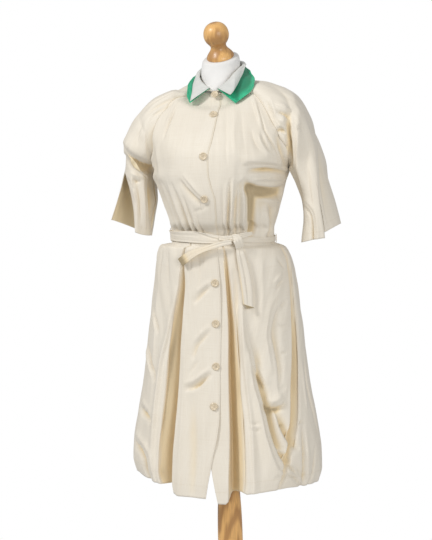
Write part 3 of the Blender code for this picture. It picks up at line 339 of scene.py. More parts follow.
def half_section(sections, position, across, sign):
    """Points of one bodice section. position counts rows of the table; across runs from 0 at the centre
    line to 1 at the seam, and below 0 past the centre; sign is -1 for the front and 1 for the back."""
    row = row_of(sections, position)
    turn = np.radians(row["turn"])
    bend = across * turn
    x = row["seam_x"] * np.sin(bend) / np.sin(turn)
    centre_y = sign * row["out"]
    y = centre_y + (row["seam_y"] - centre_y) * (1 - np.cos(bend)) / (1 - np.cos(turn))
    z = row["z"] + (row["seam_z"] - row["z"]) * (x / row["seam_x"]) ** 2
    return np.stack([x, y, z], -1)


def section_line(sections, position, across, sign, neck_angle):
    """A bodice section, which ends on the neckline at its last row."""
    return neckline(neck_angle) if position >= NECK_ROW else half_section(sections, position, across, sign)


def bodice_rows(below, above):
    """Row positions: some up to the underarm, some above it."""
    return np.concatenate([np.linspace(0, UNDERARM_ROW, below + 1)[:-1],
                           np.linspace(UNDERARM_ROW, NECK_ROW, above + 1)])


def front_grid(side, rows, columns):
    """Rows from waist to neck, columns from the free front edge to the seam, for side "left" or "right"."""
    grid = []
    for position in rows:
        row = row_of(FRONT_SECTIONS[side], position)
        turn = math.radians(row["turn"])
        past = -math.asin(row["edge"] / row["seam_x"] * math.sin(turn)) / turn
        across = np.linspace(past, 1, columns)
        line = section_line(FRONT_SECTIONS[side], position, across, -1, across * RAGLAN_FRONT)
        grid.append(line * (SIGN[side], 1, 1) + (row["shift"], 0, 0))
    grid = np.array(grid)
    if side == "left":  # the under side of the front closing
        grid -= UNDERLAP * ramp(0.034, 0.022, grid[..., :1]) * normals(grid)
    return grid


def back_grid(rows, columns):
    """Rows from waist to neck, columns from the right seam to the left one."""
    grid = []
    across = np.linspace(-1, 1, columns)
    for position in rows:
        line = section_line(BACK_SECTIONS, position, across, 1, 180 - across * (180 - RAGLAN_BACK))
        grid.append(line + (row_of(FRONT_SECTIONS["left"], position)["shift"], 0, 0))
    return np.array(grid)


def sleeve_arc(side, position, half_columns):
    """A sleeve section above the underarm, from the front raglan seam over the crest to the back one."""
    shoulder = position - UNDERARM_ROW
    if position >= NECK_ROW:
        return neckline(np.linspace(RAGLAN_FRONT, RAGLAN_BACK, 2 * half_columns + 1))
    top = row_of(CREST[side], shoulder)
    halves = []
    for sections, sign, reach in ((FRONT_SECTIONS[side], -1, top["forward"]),
                                  (BACK_SECTIONS, 1, top["backward"])):
        x, y, z = half_section(sections, position, 1.0, sign)
        short = abs(SHOULDER_Y - y)
        reach = max(reach, short) if shoulder else reach
        start = -math.acos(short / reach) if shoulder else -math.pi / 2
        angle = np.linspace(start, math.pi / 2, half_columns + 1)
        share = (1 - np.sin(angle)) / (1 - math.sin(start))
        halves.append(np.stack([top["x"] - (top["x"] - x) * share, SHOULDER_Y + sign * reach * np.cos(angle),
                                top["z"] - (top["z"] - z) * share], -1))
    return np.concatenate([halves[0], halves[1][-2::-1]])


def sleeve_ring(side, position, half_columns):
    """A sleeve section below the underarm: an ellipse that starts and ends on the underarm seam."""
    crest, rings = CREST[side], SLEEVE_RINGS[side]
    underarm = row_of(FRONT_SECTIONS["left"], UNDERARM_ROW)
    first = {k: v[0] for k, v in crest.items()}
    first.update(in_x=underarm["seam_x"], in_z=underarm["seam_z"], out_x=first["x"], out_z=first["z"], at=0)
    ring = {k: smooth([0, *rings["at"]], [first[k], *v], position) for k, v in rings.items()}
    angle = np.linspace(-90, 270, 2 * half_columns + 1)
    share = (1 + np.sin(np.radians(angle))) / 2
    y = SHOULDER_Y + oval(angle, 0, ring["forward"], ring["backward"])[1]
    return np.stack([ring["in_x"] + (ring["out_x"] - ring["in_x"]) * share, y,
                     ring["in_z"] + (ring["out_z"] - ring["in_z"]) * share], -1)


def sleeve_grid(side, upper_rows, ring_rows, half_columns):
    """Rows from neck to cuff, columns from the front seam over the crest to the back seam."""
    upper = [sleeve_arc(side, position, half_columns) for position in upper_rows[::-1]]
    lower = [sleeve_ring(side, position, half_columns) for position in ring_rows]
    return np.array(upper + lower) * (SIGN[side], 1, 1)


def slit_sleeve(grid, side, ring_rows, step):
    """The front and the back flap of the cuff's slit, as grids that part along column step below its top."""
    vent = VENT[side]
    front, back = grid.copy(), grid.copy()
    column = np.arange(grid.shape[1])
    near = np.clip(column / step, 0, 1)[:, None]
    away = np.clip((column - step) / (len(column) - 1 - step), 0, 1)[:, None]
    drop = vent["edge_drop"] * (1 - away) ** 2 + vent["back_drop"] * np.sin(math.pi * away)
    for r, position in enumerate(ring_rows, len(grid) - len(ring_rows)):
        share = max(0.0, (position - vent["top"]) / (CUFF_ROW - vent["top"]))
        front[r] += share * near * vent["draw_in"] * (grid[r, 0] - grid[r]) * (1, 0, 0)
        front[r] += share * near ** 2 * (0, vent["draw_back"], -vent["front_drop"])
        back[r] -= share * drop * (0, 0, 1)
    return front, back


def skirt_size(column, drop):
    return smooth(SKIRT_SECTIONS["drop"], SKIRT_SECTIONS[column], drop)


def pleat_value(pleat, column, drop):
    return float(smooth(PLEAT_ROWS, PLEATS[pleat][column], drop))


def edge_angle(edge, drop):
    """The free front edge as an angle round the skirt."""
    past = smooth(FRONT_EDGE["drop"], FRONT_EDGE[edge], drop)
    return np.degrees(np.arcsin(past / skirt_size("half_width", drop)))


def skirt_point(angle, drop, inset, hem):
    """Points of the skirt at an angle and a drop, set in towards the middle by inset."""
    wide, front, back = (skirt_size(k, drop) for k in ("half_width", "front", "back"))
    x, y = oval(angle, wide, front + SKIRT_CENTRE_Y, back - SKIRT_CENTRE_Y)
    radius = np.hypot(x, y)
    keep = (radius - inset) / radius
    hem_z = np.interp(angle, HEM_Z[hem]["angle"], HEM_Z[hem]["z"])
    right, left = (np.interp(drop, SHELF["drop"], SHELF[side]) for side in ("right", "left"))
    shelf = right + (left - right) * (1 + np.sin(np.radians(angle))) / 2
    z = SKIRT_TOP_Z - (SKIRT_TOP_Z - hem_z) * drop + shelf
    return np.stack([skirt_size("shift", drop) + x * keep, SKIRT_CENTRE_Y + y * keep, z], -1)


def skirt_grid(hem, drops, spans):
    """Rows from waist to hem, and how deep in a pleat each point lies. spans go round from the first angle:
    ("to", angle at each drop, columns) or ("pleat", name, columns)."""
    angles, insets = [], []
    for drop in drops:
        line, deep = [float(spans[0](drop))], [0.0]
        for kind, what, columns in spans[1:]:
            share = np.arange(1, columns + 1) / columns
            if kind == "to":
                line += list(line[-1] + (what(drop) - line[-1]) * share)
                deep += [0.0] * columns
                continue
            near, far, depth, bottom = (pleat_value(what, column, drop) for column in PLEATS[what])
            line += list(near + (far - near) * share)
            profile = np.where(share < bottom, share / bottom, (1 - share) / (1 - bottom))
            deep += list(depth * np.sin(profile * math.pi / 2) ** 1.2)
        angles.append(line)
        insets.append(deep)
    angles, insets = (softened(np.array(lines), 2) for lines in (angles, insets))  # rounds the pleats' lips
    tuck = 0.0
    if hem == "left_front":
        over = edge_angle("over", 0.0) + 3.0
        tuck = UNDERLAP * ramp(over + 5.0, over, angles)
    grid = np.array([skirt_point(a, d, i, hem) for a, d, i in zip(angles, drops, insets + tuck)])
    return grid, angles, insets


def lip(pleat, column):
    return lambda drop: pleat_value(pleat, column, drop)


def at(angle):
    return lambda drop: angle


def roll_line(angle):
    """Points of the collar's roll line at angles in degrees from centre front."""
    wide, z = (smooth(ROLL_LINE["angle"], ROLL_LINE[k], (angle + 180) % 360 - 180) for k in ("wide", "z"))
    x, y = oval(angle, wide, ROLL_FORWARD, ROLL_BACKWARD)
    return np.stack([x, ROLL_CENTRE_Y + y, z], -1)


def stand_grid(columns, rows):
    """The collar stand from its over end round the neck to its under end, which is tucked inside."""
    angle = np.linspace(STAND_LAP, -360 - STAND_LAP, columns)
    foot, head = neckline(angle) + (0, 0, SEAM), roll_line(angle)
    tuck = UNDERLAP * np.clip((-300 - angle) / 30, 0, 1)[:, None]
    share = np.linspace(0, 1, rows)[:, None, None]
    return foot - outward_at(angle) * tuck + (head - foot) * share


def leaf_grid(colour, columns, rows):
    """A collar leaf: columns from the left front round the back to the right front, rows from the stand
    over the roll line to the outer edge."""
    halves = []
    for side, sign in SIGN.items():
        outline = LEAVES[colour, side]
        start = outline["angle"][0]
        angle = start + (180 - start) * np.linspace(0, 1, columns) ** 1.15
        edge = np.stack([smooth(outline["angle"], outline[k], angle) for k in "xyz"], -1)
        base = roll_line(sign * angle) * (sign, 1, 1)
        settle = np.clip((angle - start) / 40, 0, 1)[:, None]
        spread = 1.0 if side == "left" else 0.75
        turns = np.array([base + outward_at(angle) * out * (spread if out > 0 else 1) + (0, 0, 4 * SEAM)
                          + (0.45 + 0.55 * settle) * (0, 0, up) for out, up in ROLL_PATH[colour]])
        steps = np.linspace(0, len(turns) - 1, 3 * len(turns) - 2)
        over = [[between(turns[:, c, i], steps) for i in range(3)] for c in range(columns)]
        over = np.moveaxis(over, 2, 0)
        hang_out, hang_up = (0.5 + (h - 0.5) * settle for h in HANG[colour])
        last = over[-1]
        bend = np.concatenate([last[:, :2] + hang_out * (edge - last)[:, :2],
                               edge[:, 2:] + hang_up * (last - edge)[:, 2:]], -1)
        t = np.linspace(0, 1, rows + 1)[1:, None, None]
        fall = (1 - t) ** 2 * last + 2 * t * (1 - t) * bend + t * t * edge
        halves.append(np.concatenate([over, fall]) * (sign, 1, 1))
    return np.concatenate([halves[0], halves[1][:, -2::-1]], axis=1)


def belt_ellipse(angle, out=0.0):
    """Points of the belt's face at angles in degrees from centre front, moved out."""
    x, y = oval(angle, BELT_WIDE + out, BELT_FRONT + SKIRT_CENTRE_Y + out, BELT_BACK - SKIRT_CENTRE_Y + out)
    return x, SKIRT_CENTRE_Y + y


def tail_grid(tail, rows, across):
    """A belt tail as a ribbon along its path, twisted about it."""
    *centre, width, twist = drawn_out(TAILS[tail], "x y z width twist", rows)
    centre = np.stack(centre, -1)
    along = softened(np.gradient(centre, axis=0), 6, 0)
    face = Vector(outward_at(TAIL_FACING[tail]))
    grid = []
    for c, direction, w, t in zip(centre, along, width, twist):
        side = Vector(direction).cross(face).normalized()
        side.rotate(Matrix.Rotation(math.radians(t), 3, Vector(direction).normalized()))
        grid.append([c + w * s * np.array(side) for s in np.linspace(-0.5, 0.5, across)])
    return np.array(grid)


def front_surface(x, z):
    """A point of the outer face of the right front at this x and height."""
    if z > WAIST_Z:
        sections = FRONT_SECTIONS["right"]
        position = np.interp(z, sections["z"], np.arange(len(sections["z"])))
        row = row_of(sections, position)
        turn = math.radians(row["turn"])
        bend = math.asin(abs(x) / row["seam_x"] * math.sin(turn))
        return Vector((x, half_section(sections, position, bend / turn, -1)[1], z))
    drop = (SKIRT_TOP_Z - z) / (SKIRT_TOP_Z - FRONT_HEM_Z)
    angle = math.degrees(math.asin((x - skirt_size("shift", drop)) / skirt_size("half_width", drop)))
    return Vector((x, skirt_point(angle, drop, 0.0, "right_front")[1], z))


# ------------ folds laid one by one
# A row is one trough or ridge: its height in mm, + outward, its reach left and right of its path in mm,
# and the path, in x and z on bodice and sleeves and in degrees and z on the skirt.
RIGHT_FRONT_FOLDS = """
# beside the sleeve's seam, from the collar to the underarm
-2.4 3 8: -79 1414, -88 1394, -96 1370, -104 1342, -111 1308
2 9 3: -84 1418, -97 1392, -106 1366, -113 1340, -118 1312
-1.4 2.5 7: -91 1385, -109 1331, -116 1300
-2.4 3 8: -151 1308, -143 1277, -142 1239, -146 1202
2 8 4: -138 1300, -131 1268, -128 1236, -126 1204
# soft lengthwise unevenness over the chest
1.3 10 7: -60 1400, -72 1350, -80 1300, -86 1240
-1 8 11: -40 1390, -50 1340, -56 1290, -60 1235
-0.9 3 8: -74 1330, -78 1290, -80 1240
0.9 4 3: -52 1345, -58 1300, -61 1262
# gathers into the waist
-4 3 10: -148 1220, -131 1190, -112 1140, -96 1096, -89 1070
2.6 8 3: -136 1222, -116 1178, -101 1134, -88 1091, -83 1070
-4 2.5 9: -125 1214, -103 1168, -87 1122, -77 1087, -73 1066
2.4 7 3: -110 1216, -92 1168, -77 1122, -67 1087, -63 1066
-3.8 2.5 8: -92 1206, -74 1160, -62 1118, -55 1087, -52 1066
2 6 3: -75 1190, -62 1150, -52 1112, -45 1066
-3.2 2 6: -60 1172, -49 1132, -40 1096, -37 1066
1.6 5 2.5: -44 1150, -36 1112, -31 1066
-2 2 5: -34 1146, -27 1112, -23 1066
# drawn up to the fourth button
-3.8 2.5 9: -68 1214, -46 1186, -26 1166, -6 1150, 6 1148
2.2 7 2.5: -58 1224, -36 1198, -18 1178, -2 1164
-1.6 2.5 5: -36 1132, -20 1138, -4 1144
# the side under the arm
-3 3 10: -158 1196, -140 1150, -124 1110, -113 1070
2.6 8 3: -150 1200, -131 1152, -114 1112, -103 1070"""
LEFT_FRONT_FOLDS = """
# beside the sleeve's seam: two thin lines and the round fold between them
-2 2.5 6: 88 1412, 102 1384, 112 1358, 122 1330
2.6 4 8: 94 1414, 108 1384, 120 1356, 130 1330
-2.6 2 3: 112 1385, 124 1353, 137 1322, 147 1304, 163 1268, 161 1240
-3 3 6: 128 1322, 133 1305, 141 1286, 150 1276, 158 1286
2.4 6 3: 120 1318, 127 1298, 138 1278, 150 1264
-2 3 7: 104 1330, 113 1302, 124 1282, 138 1266
# soft lengthwise unevenness over the chest
1.3 9 7: 52 1400, 62 1350, 70 1300, 74 1240
-1.1 3 8: 36 1395, 44 1340, 52 1290, 56 1240
-1 3 8: 74 1380, 84 1330, 92 1290, 96 1255
1 4 3: 62 1345, 67 1300, 70 1262
-1 2 4: 48 1305, 51 1270, 53 1235
# the overhang of the bust and the deep fold under it
5.6 20 4: 86 1246, 106 1250, 128 1250, 150 1247, 172 1238
-7 3 7: 96 1226, 112 1230, 134 1230, 154 1227, 178 1217
3.4 3 3: 106 1207, 128 1206, 150 1205, 170 1204
-8.4 7 19: 86 1208, 102 1191, 126 1181, 148 1178, 170 1184
-4.6 12 44: 92 1192, 110 1176, 134 1166, 158 1166
3.6 3 9: 116 1158, 132 1156, 150 1150
# gathers into the waist, close together
-1.8 2 3: 42 1200, 38 1150, 32 1104, 27 1066
1.8 3 2: 50 1206, 45 1150, 39 1104, 33 1066
-4.6 2 3: 60 1212, 55 1170, 48 1120, 38 1070
3.4 3 2: 67 1214, 62 1170, 54 1120, 44 1070
-4.2 3 4: 76 1204, 70 1160, 63 1115, 54 1070
4.6 3 4: 90 1208, 86 1150, 79 1104, 71 1066
-2.2 2 3: 83 1206, 78 1150, 71 1104, 62 1066
-8.6 7 8: 108 1200, 104 1146, 98 1104, 90 1070
5.4 5 5: 128 1146, 125 1112, 119 1080, 116 1066
-6 4 4: 138 1140, 134 1108, 127 1082, 124 1066
3.2 3 4: 150 1164, 143 1128, 133 1092, 130 1066
-2.6 3 4: 156 1158, 147 1120, 137 1080, 134 1066"""
LEFT_SLEEVE_FOLDS = """
# the face of the sleeve: its ridge down to the cuff, with the shaded side beyond it
4.4 3 15: 212 1376, 226 1327, 236 1293, 243 1250, 247 1213, 252 1159, 266 1083
-3.4 16 3: 224 1374, 238 1325, 248 1290, 255 1246, 259 1210, 265 1156, 277 1083
-2 3 8: 113 1443, 144 1431, 180 1403, 192 1376, 203 1342
1.8 8 4: 118 1450, 150 1438, 188 1408, 202 1378, 214 1345
-2.8 2.5 4: 203 1321, 212 1327, 221 1333
-2.4 3 8: 226 1290, 230 1240, 233 1190, 240 1130
# the deep folds between the seam and the face
-8 3 10: 192 1374, 193 1340, 193 1306, 191 1274, 187 1226
4.4 9 3: 204 1380, 206 1330, 207 1290, 206 1240, 206 1180
-5 4 4: 158 1364, 168 1366, 180 1362, 192 1354
3 4 5: 156 1384, 172 1382, 190 1374
4 5 5: 166 1344, 174 1344, 184 1340
-6 5 4: 160 1322, 170 1323, 182 1316
-5 3 6: 165 1318, 169 1290, 173 1262, 173 1230
3.6 4 4: 177 1306, 180 1280, 180 1246
-2.6 3 5: 132 1398, 142 1376, 150 1352, 156 1330
2.4 5 3: 142 1404, 152 1378, 161 1352
# the cuff
-4.6 3 4: 211 1142, 222 1132, 234 1118, 237 1092, 236 1045
3 8 3: 216 1156, 230 1146, 246 1126, 249 1088, 249 1045
-3 3 9: 206 1230, 206 1196, 208 1150, 212 1085
2.2 3 6: 256 1130, 262 1090, 266 1055"""
RIGHT_SLEEVE_FOLDS = """
# drawn up to the collar
-3.2 2.5 8: -170 1372, -140 1394, -106 1410, -79 1424
2.6 7 2.5: -172 1384, -140 1404, -110 1418, -80 1430
-3 2.5 6: -182 1382, -150 1404, -118 1418, -83 1431
-3 3 7: -160 1358, -140 1376, -116 1392, -98 1402
# down the face of the sleeve
-4.2 3 10: -146 1352, -152 1326, -155 1298, -157 1262
2.2 3 9: -166 1352, -169 1318, -169 1288, -168 1266
-1.8 3 10: -180 1350, -188 1320, -192 1292
# the overhang above the cuff
5 22 6: -246 1314, -224 1298, -201 1281, -176 1266, -154 1256
-8 6 15: -232 1282, -210 1261, -187 1246, -168 1237, -152 1232
2.4 5 8: -222 1230, -206 1222, -190 1214
-3 3 4: -214 1212, -204 1206, -194 1206
# upright creases below it
-7 12 3: -174 1232, -178 1200, -178 1160, -180 1120, -184 1075
4.4 3 6: -188 1236, -190 1200, -191 1160, -193 1120, -196 1075
-3.6 3 7: -205 1222, -204 1180, -205 1140, -208 1100
2.6 3 4: -216 1222, -218 1190, -217 1160
-2.6 2.5 4: -232 1215, -222 1200, -214 1186
2.6 3 4: -165 1190, -168 1150, -170 1110"""
SKIRT_FOLDS = """
# right front, from the side seam to the pleat
-4.6 3 8: -66 890, -58 868, -52 842, -50 826
2.4 8 3: -70 880, -62 858, -56 836
-6.4 3 12: -74 800, -64 778, -56 752, -50 726, -48 706
3 10 4: -78 786, -68 764, -60 740, -54 716
-6 3 9: -68 642, -58 631, -50 622, -45 606
2.6 8 3: -66 656, -57 646, -50 636
-7.4 3 12: -74 560, -64 549, -54 536, -48 514, -46 484
3.6 10 4: -68 574, -58 563, -48 548, -42 520, -41 486
-2 4 10: -80 700, -79 650, -76 600, -75 545
1.8 10 10: -58 980, -58 900, -56 820, -52 700, -48 600
-2 3 9: -70 1010, -73 960, -74 910
-1.6 3 6: -58 1036, -57 1000, -58 960
-1.8 3 6: -46 1040, -44 1000, -42 950
# the bright lip of the pleat and the trough inside it
-7 12 3: -29 985, -30 940, -33 877, -34.5 815, -36 740, -36 660, -35 570, -34.5 475
5 3 11: -32 950, -36 878, -39 812, -43 738, -43 652, -41.5 570, -40 510, -40 470
-2.6 3 3: -36 530, -35 500, -34 470
# centre panel, drawn up to the buttons
-5.4 2.5 10: 0 738, -5 724, -10 708, -15 700, -21 696
3.6 8 2.5: -2 752, -8 737, -14 722, -21 712
-3.8 2.5 8: -1 950, -6 938, -11 922, -16 906
2 7 2.5: -2 964, -8 951, -14 936
-3.6 2.5 8: -2 842, -7 822, -12 802, -15 770
2 7 2.5: -3 856, -9 838, -15 814
-1.8 2 5: -10 770, -14 752, -18 730
-4 12 12: -14 690, -13 640, -12 600, -11 540, -11 460
2.2 9 9: -5 690, -5 630, -4 560, -4 460
2.4 4 9: -21 860, -21 780, -21 680, -20 580, -20 450
-1.4 3 7: -12 1030, -11 990, -12 940
1.2 6 3: -6 1030, -6 990, -6 940
-1.4 2.5 5: -19 1030, -19 980, -19 930
# left front: the pleat beside the front edge
-6.4 3 8: 18.5 990, 18.5 916, 17.5 850, 18 778, 18 699, 19.5 620, 20 540, 21 455
4.4 8 3: 22.5 990, 22.5 930, 21.5 870, 21.5 778, 23 698, 24.5 619, 25 538, 26 455
-2.4 2 4: 10 1040, 11 990, 12 930, 12 870
# the main drape, from the waist to the hem at the side
5 3 12: 21 910, 22 835, 26 769, 27.5 714, 31 656, 33 596, 37 539, 42 500, 54 470
-7 14 3: 26 835, 30.5 769, 32 714, 35.5 656, 38 596, 42 545, 48 512, 58 480
-6.4 14 4: 41 664, 43 640, 46 600, 51 566, 58 540
2.6 5 3: 37 560, 42 548, 48 540
# the bright patch over it, with its lower edge
3.2 15 3: 36 674, 41 664, 45 668, 50 676
-6 3 10: 33 664, 37 650, 42 650, 47 654, 52 662
-4.4 2.5 6: 28 756, 31 728, 36 698
2 5 3: 31 764, 34 738, 39 706
# the shaded field beside the side pleat
-4.4 14 4: 60 902, 51 879, 45.5 832, 47 795, 48.5 734, 47.5 680
2.4 4 14: 54 925, 45 890, 40 832, 41 780, 43 730
-2.6 3 5: 60 1014, 64 1003, 69 988
-2.8 3 5: 53 938, 58 950, 65 961
2 5 3: 51 950, 57 962, 64 973
-2.4 3 5: 56 896, 61 902, 65 908
-2 2.5 4: 51 852, 57 846, 62 842
-1.8 2 3: 52 781, 55 781, 58 780
-1.8 2 3: 48 698, 51 698, 54 697
-1.8 2 3: 43 609, 46 608, 49 607
-1.8 2.5 3.5: 23 617, 26.5 617, 31 616
1.4 2.5 2.5: 23 610, 26.5 610, 31 609
-1.8 2.5 3.5: 23 602, 26.5 602, 31 601
-1.6 8 8: 33 1020, 33 970, 32 910, 30 850
1.8 9 9: 43 1020, 41 960, 38 900, 35 850
# the crisp band of the side pleat
-5 7 2.5: 82.5 1010, 81 959, 79 910, 76 849, 70.5 766, 65 686, 56.5 587, 50.5 518
2.6 2.5 8: 79 1010, 77.5 959, 75 910, 71.5 849, 66 766, 60.5 686, 52 587, 46.5 530
# the side, and its corner at the hem
-4.8 2.5 6: 64.5 606, 63.5 570, 63 524, 63 467
2.6 8 3: 67.5 610, 66.5 570, 66 520, 66 467
-3.6 3 3: 61 606, 64 610, 67 608
-3.2 3 6: 78 548, 77 534, 75 500, 72 470
3 4 3: 42 500, 50 512, 56 490, 61 465
-3.4 3 6: 38 482, 45 488, 52 482, 58 464
-2.2 3 9: 84 780, 84 700, 86 620, 88 560
2.4 8 3: 76 760, 74 690, 73 630"""


UPPER_FOLDS = {"left": LEFT_FRONT_FOLDS + "\n" + LEFT_SLEEVE_FOLDS,
               "right": RIGHT_FRONT_FOLDS + "\n" + RIGHT_SLEEVE_FOLDS}


def read_folds(text, scale):
    """The rows of a fold table, with their paths as points."""
    rows = []
    for line in text.strip().splitlines():
        if line and not line.startswith("#"):
            rise, left, right, *path = (float(v) for v in line.replace(":", " ").replace(",", " ").split())
            rows.append((rise, left, right, np.reshape(path, (-1, 2)) * scale))
    return rows


def led_on(rows, runs_under):
    """The rows, with each path that ends below this height led on past it, so that its fold reaches
    the edge at full height."""
    longer = []
    for *sizes, knots in rows:
        way = knots[-1] - knots[-2]
        if knots[-1, 1] < runs_under and way[1] < -0.010:
            knots = np.concatenate([knots, [knots[-1] + 0.04 * unit(way)]])
        longer.append((*sizes, knots))
    return longer


def laid(chart, rows):
    """Height of the folds at points of a chart. The deeper a fold, the flatter its floor and the steeper
    its sides."""
    shape = chart.shape[:-1]
    chart = chart.reshape(-1, 2)
    height = np.zeros(len(chart))
    for rise, left, right, knots in rows:
        left, right = left / 1000, right / 1000
        steps = np.linspace(0, len(knots) - 1, 6 * (len(knots) - 1) + 1)
        path = np.stack([between(knots[:, i], steps) for i in (0, 1)], -1)
        reach = 3.2 * max(left, right)
        close = np.all((chart > path.min(0) - reach) & (chart < path.max(0) + reach), axis=1)
        point = chart[close][:, None]
        start, along = path[:-1], np.diff(path, axis=0)
        length = np.linalg.norm(along, axis=1)
        share = np.clip(((point - start) * along).sum(-1) / length ** 2, 0, 1)
        apart = point - (start + share[..., None] * along)
        distance = np.linalg.norm(apart, axis=-1)
        pick = np.arange(len(distance)), distance.argmin(1)
        side = along[pick[1], 0] * apart[pick][:, 1] - along[pick[1], 1] * apart[pick][:, 0]
        place = ((np.cumsum(length) - length)[pick[1]] + share[pick] * length[pick[1]]) / length.sum()
        taper = np.sin(math.pi * np.clip(place, 0, 1)) ** 0.7
        crease = 1.1 + 0.2 * abs(rise)
        reach = np.where(side > 0, left, right)
        height[close] += rise / 1000 * taper * np.exp(-(distance[pick] / reach) ** crease)
    return height.reshape(shape)


def skirt_chart(pairs):
    """Degrees round the skirt and a height as metres on the cloth."""
    radius = np.interp(pairs[..., 1], (0.45, 0.70, 0.90, 1.05), (0.215, 0.190, 0.160, 0.125))
    return np.stack([np.radians(pairs[..., 0]) * radius, pairs[..., 1]], -1)


def spread_out(random, count, first, last, loose):
    """Each of some seeded folds: its number, and its place between first and last."""
    for i in range(count):
        yield i, first + (last - first) * (i + 0.5 + random.uniform(-loose, loose)) / count


def scattered(seed, count, across, top, length, height, reach, lean=0.0):
    """Seeded upright folds for a side that the tables leave out: troughs and ridges in turn."""
    random = np.random.default_rng(seed)
    rows = []
    for i, x in spread_out(random, count, *across, 0.35):
        z = top + random.uniform(-0.2, 0.2) * length
        fall = length * random.uniform(0.55, 1.3)
        sway = random.uniform(-1, 1, 3) * 0.15 * (across[1] - across[0]) / count
        knots = [(x + s + lean * f * (x - np.mean(across)), z - fall * f)
                 for s, f in zip((0, *sway), (0, 0.33, 0.66, 1))]
        rise = height * random.uniform(0.5, 1.25) * (-1 if i % 2 else 0.75)
        left, right = reach * random.uniform(0.6, 1.3), reach * random.uniform(0.8, 1.7)
        rows.append((rise, left, right, np.array(knots)))
    return rows


def skirt_gathers(seed, count, first, last, height):
    """Seeded gathers under the waist, from one angle round to another."""
    random = np.random.default_rng(seed)
    rows = []
    for i, angle in spread_out(random, count, first, last, 0.35):
        fall, lean = random.uniform(0.06, 0.20), random.uniform(-2.0, 2.0)
        knots = [(angle + lean * f, 1.046 - fall * f) for f in (0, 0.4, 1)]
        rise = height * random.uniform(0.5, 1.2) * (-1 if i % 2 else 0.8)
        rows.append((rise, random.uniform(3, 6), random.uniform(4, 8), np.array(knots)))
    return rows


def scattered_round(seed, count, first, last):
    """Long soft folds and short dents for the back of the skirt."""
    random = np.random.default_rng(seed)
    rows = []
    for i, angle in spread_out(random, count, first, last, 0.4):
        top, fall, lean = random.uniform(0.62, 0.98), random.uniform(0.10, 0.34), random.uniform(-6, 6)
        knots = [(angle + lean * f + random.uniform(-1, 1), top - fall * f) for f in (0, 0.3, 0.65, 1)]
        rise = random.uniform(2.4, 4.6) * (-1 if i % 2 else 0.8)
        rows.append((rise, random.uniform(6, 12), random.uniform(8, 16), np.array(knots)))
    return rows


def streaks(uv, seed, height):
    """Slight unevenness along the grain of the cloth, in metres."""
    random = np.random.default_rng(seed)
    total = np.zeros(uv.shape[:-1])
    for _ in range(26):
        wave = random.uniform(0.012, 0.075)
        across = random.choice((-1, 1)) * 2 * math.pi / wave
        down = random.uniform(-0.28, 0.28) * across
        phase = random.uniform(0, 2 * math.pi)
        total += wave / 0.075 * np.sin(across * uv[..., 0] + down * uv[..., 1] + phase)
    return height * total / 3.2


def run_along(grid):
    """Distances down each column from its first row."""
    down = np.linalg.norm(np.diff(grid, axis=0), axis=-1)
    return np.concatenate([np.zeros((1, grid.shape[1])), np.cumsum(down, axis=0)])


def metres_on(grid, centre=None):
    """Distances along the rows from one column and down the columns: the cloth's own chart."""
    across = run_along(np.swapaxes(grid, 0, 1)).T
    if centre is not None:
        across -= across[:, centre:centre + 1]
    return np.stack([across, run_along(grid)], -1)


def to_edges(uv):
    """Distances on the cloth to its first and last column and to its first and last row."""
    return (uv[..., 0] - uv[:, :1, 0], uv[:, -1:, 0] - uv[..., 0],
            uv[..., 1] - uv[:1, :, 1], uv[-1:, :, 1] - uv[..., 1])


def calm(uv, *reaches):
    """Falls to 0 at sewn edges, over these distances: first and last column, first and last row."""
    share = np.ones(uv.shape[:-1])
    for gap, by in zip(to_edges(uv), reaches):
        if by:
            share = share * ramp(0, by, gap)
    return share


# ------------ meshes
def placed(name, mesh, *materials):
    obj = bpy.data.objects.new(name, mesh)
    for material in materials:
        mesh.materials.append(material)
    bpy.context.scene.collection.objects.link(obj)
    return obj


def parted(grid, uv, tone, top, column, other):
    """Points, map, painted shades and point numbers of a sheet on either side of a cut down a column. Below
    the row top, the points before that column come from the other grid."""
    rows, columns = grid.shape[:2]
    points = grid.reshape(-1, 3).copy()
    place = np.arange(rows * columns).reshape(rows, columns)
    before, below = place.copy(), slice(top + 1, rows)
    points[place[below, :column].ravel()] = other[below, :column].reshape(-1, 3)
    edge = other[below, column] + SEAM * unit(other[below, column - 1] - other[below, column])
    before[below, column] = len(points) + np.arange(len(edge))
    return (np.concatenate([points, edge]), np.concatenate([uv.reshape(-1, 2), uv[below, column]]),
            np.concatenate([tone.ravel(), tone[below, column]]), before, place)


def cloth(name, panel, wall, look, cut=None, closed=False):
    """A thin shell on a grid of points. Its map is in metres on the cloth, and its "fold" attribute holds the
    painted shade of each point, mostly from how deep in a fold it lies. cut = (row, column, grid) parts it,
    and closed joins its last column to its first."""
    grid, uv, tone, outward = panel
    rows, columns = grid.shape[:2]
    before = place = np.arange(rows * columns).reshape(rows, columns)
    points = grid.reshape(-1, 3)
    tone = np.zeros((rows, columns)) if tone is None else tone
    if cut:
        points, uv, tone, before, place = parted(grid, uv, tone, *cut)
    faces = []
    for c in range(columns if closed else columns - 1):
        near, after = before if cut and c < cut[1] else place, (c + 1) % columns
        corners = np.stack([near[:-1, c], near[:-1, after], near[1:, after], near[1:, c]], -1)
        faces.append(corners if outward > 0 else corners[:, ::-1])
    faces = np.concatenate(faces)
    mesh = bpy.data.meshes.new(name)
    mesh.from_pydata(points.tolist(), [], faces.tolist())
    mesh.uv_layers.new(name="cloth").data.foreach_set("uv", uv.reshape(-1, 2)[faces.ravel()].ravel())
    mesh.attributes.new("fold", "FLOAT", "POINT").data.foreach_set("value", tone.ravel())
    mesh.shade_smooth()
    # the inner face takes the cotton with painted light
    inside = [finish("dress_inside")] if look == "dress" else []
    obj = placed(name, mesh, finish(look), *inside)
    solid = obj.modifiers.new("Wall", "SOLIDIFY")
    solid.thickness, solid.offset, solid.material_offset = wall, -1, len(inside)
    return obj


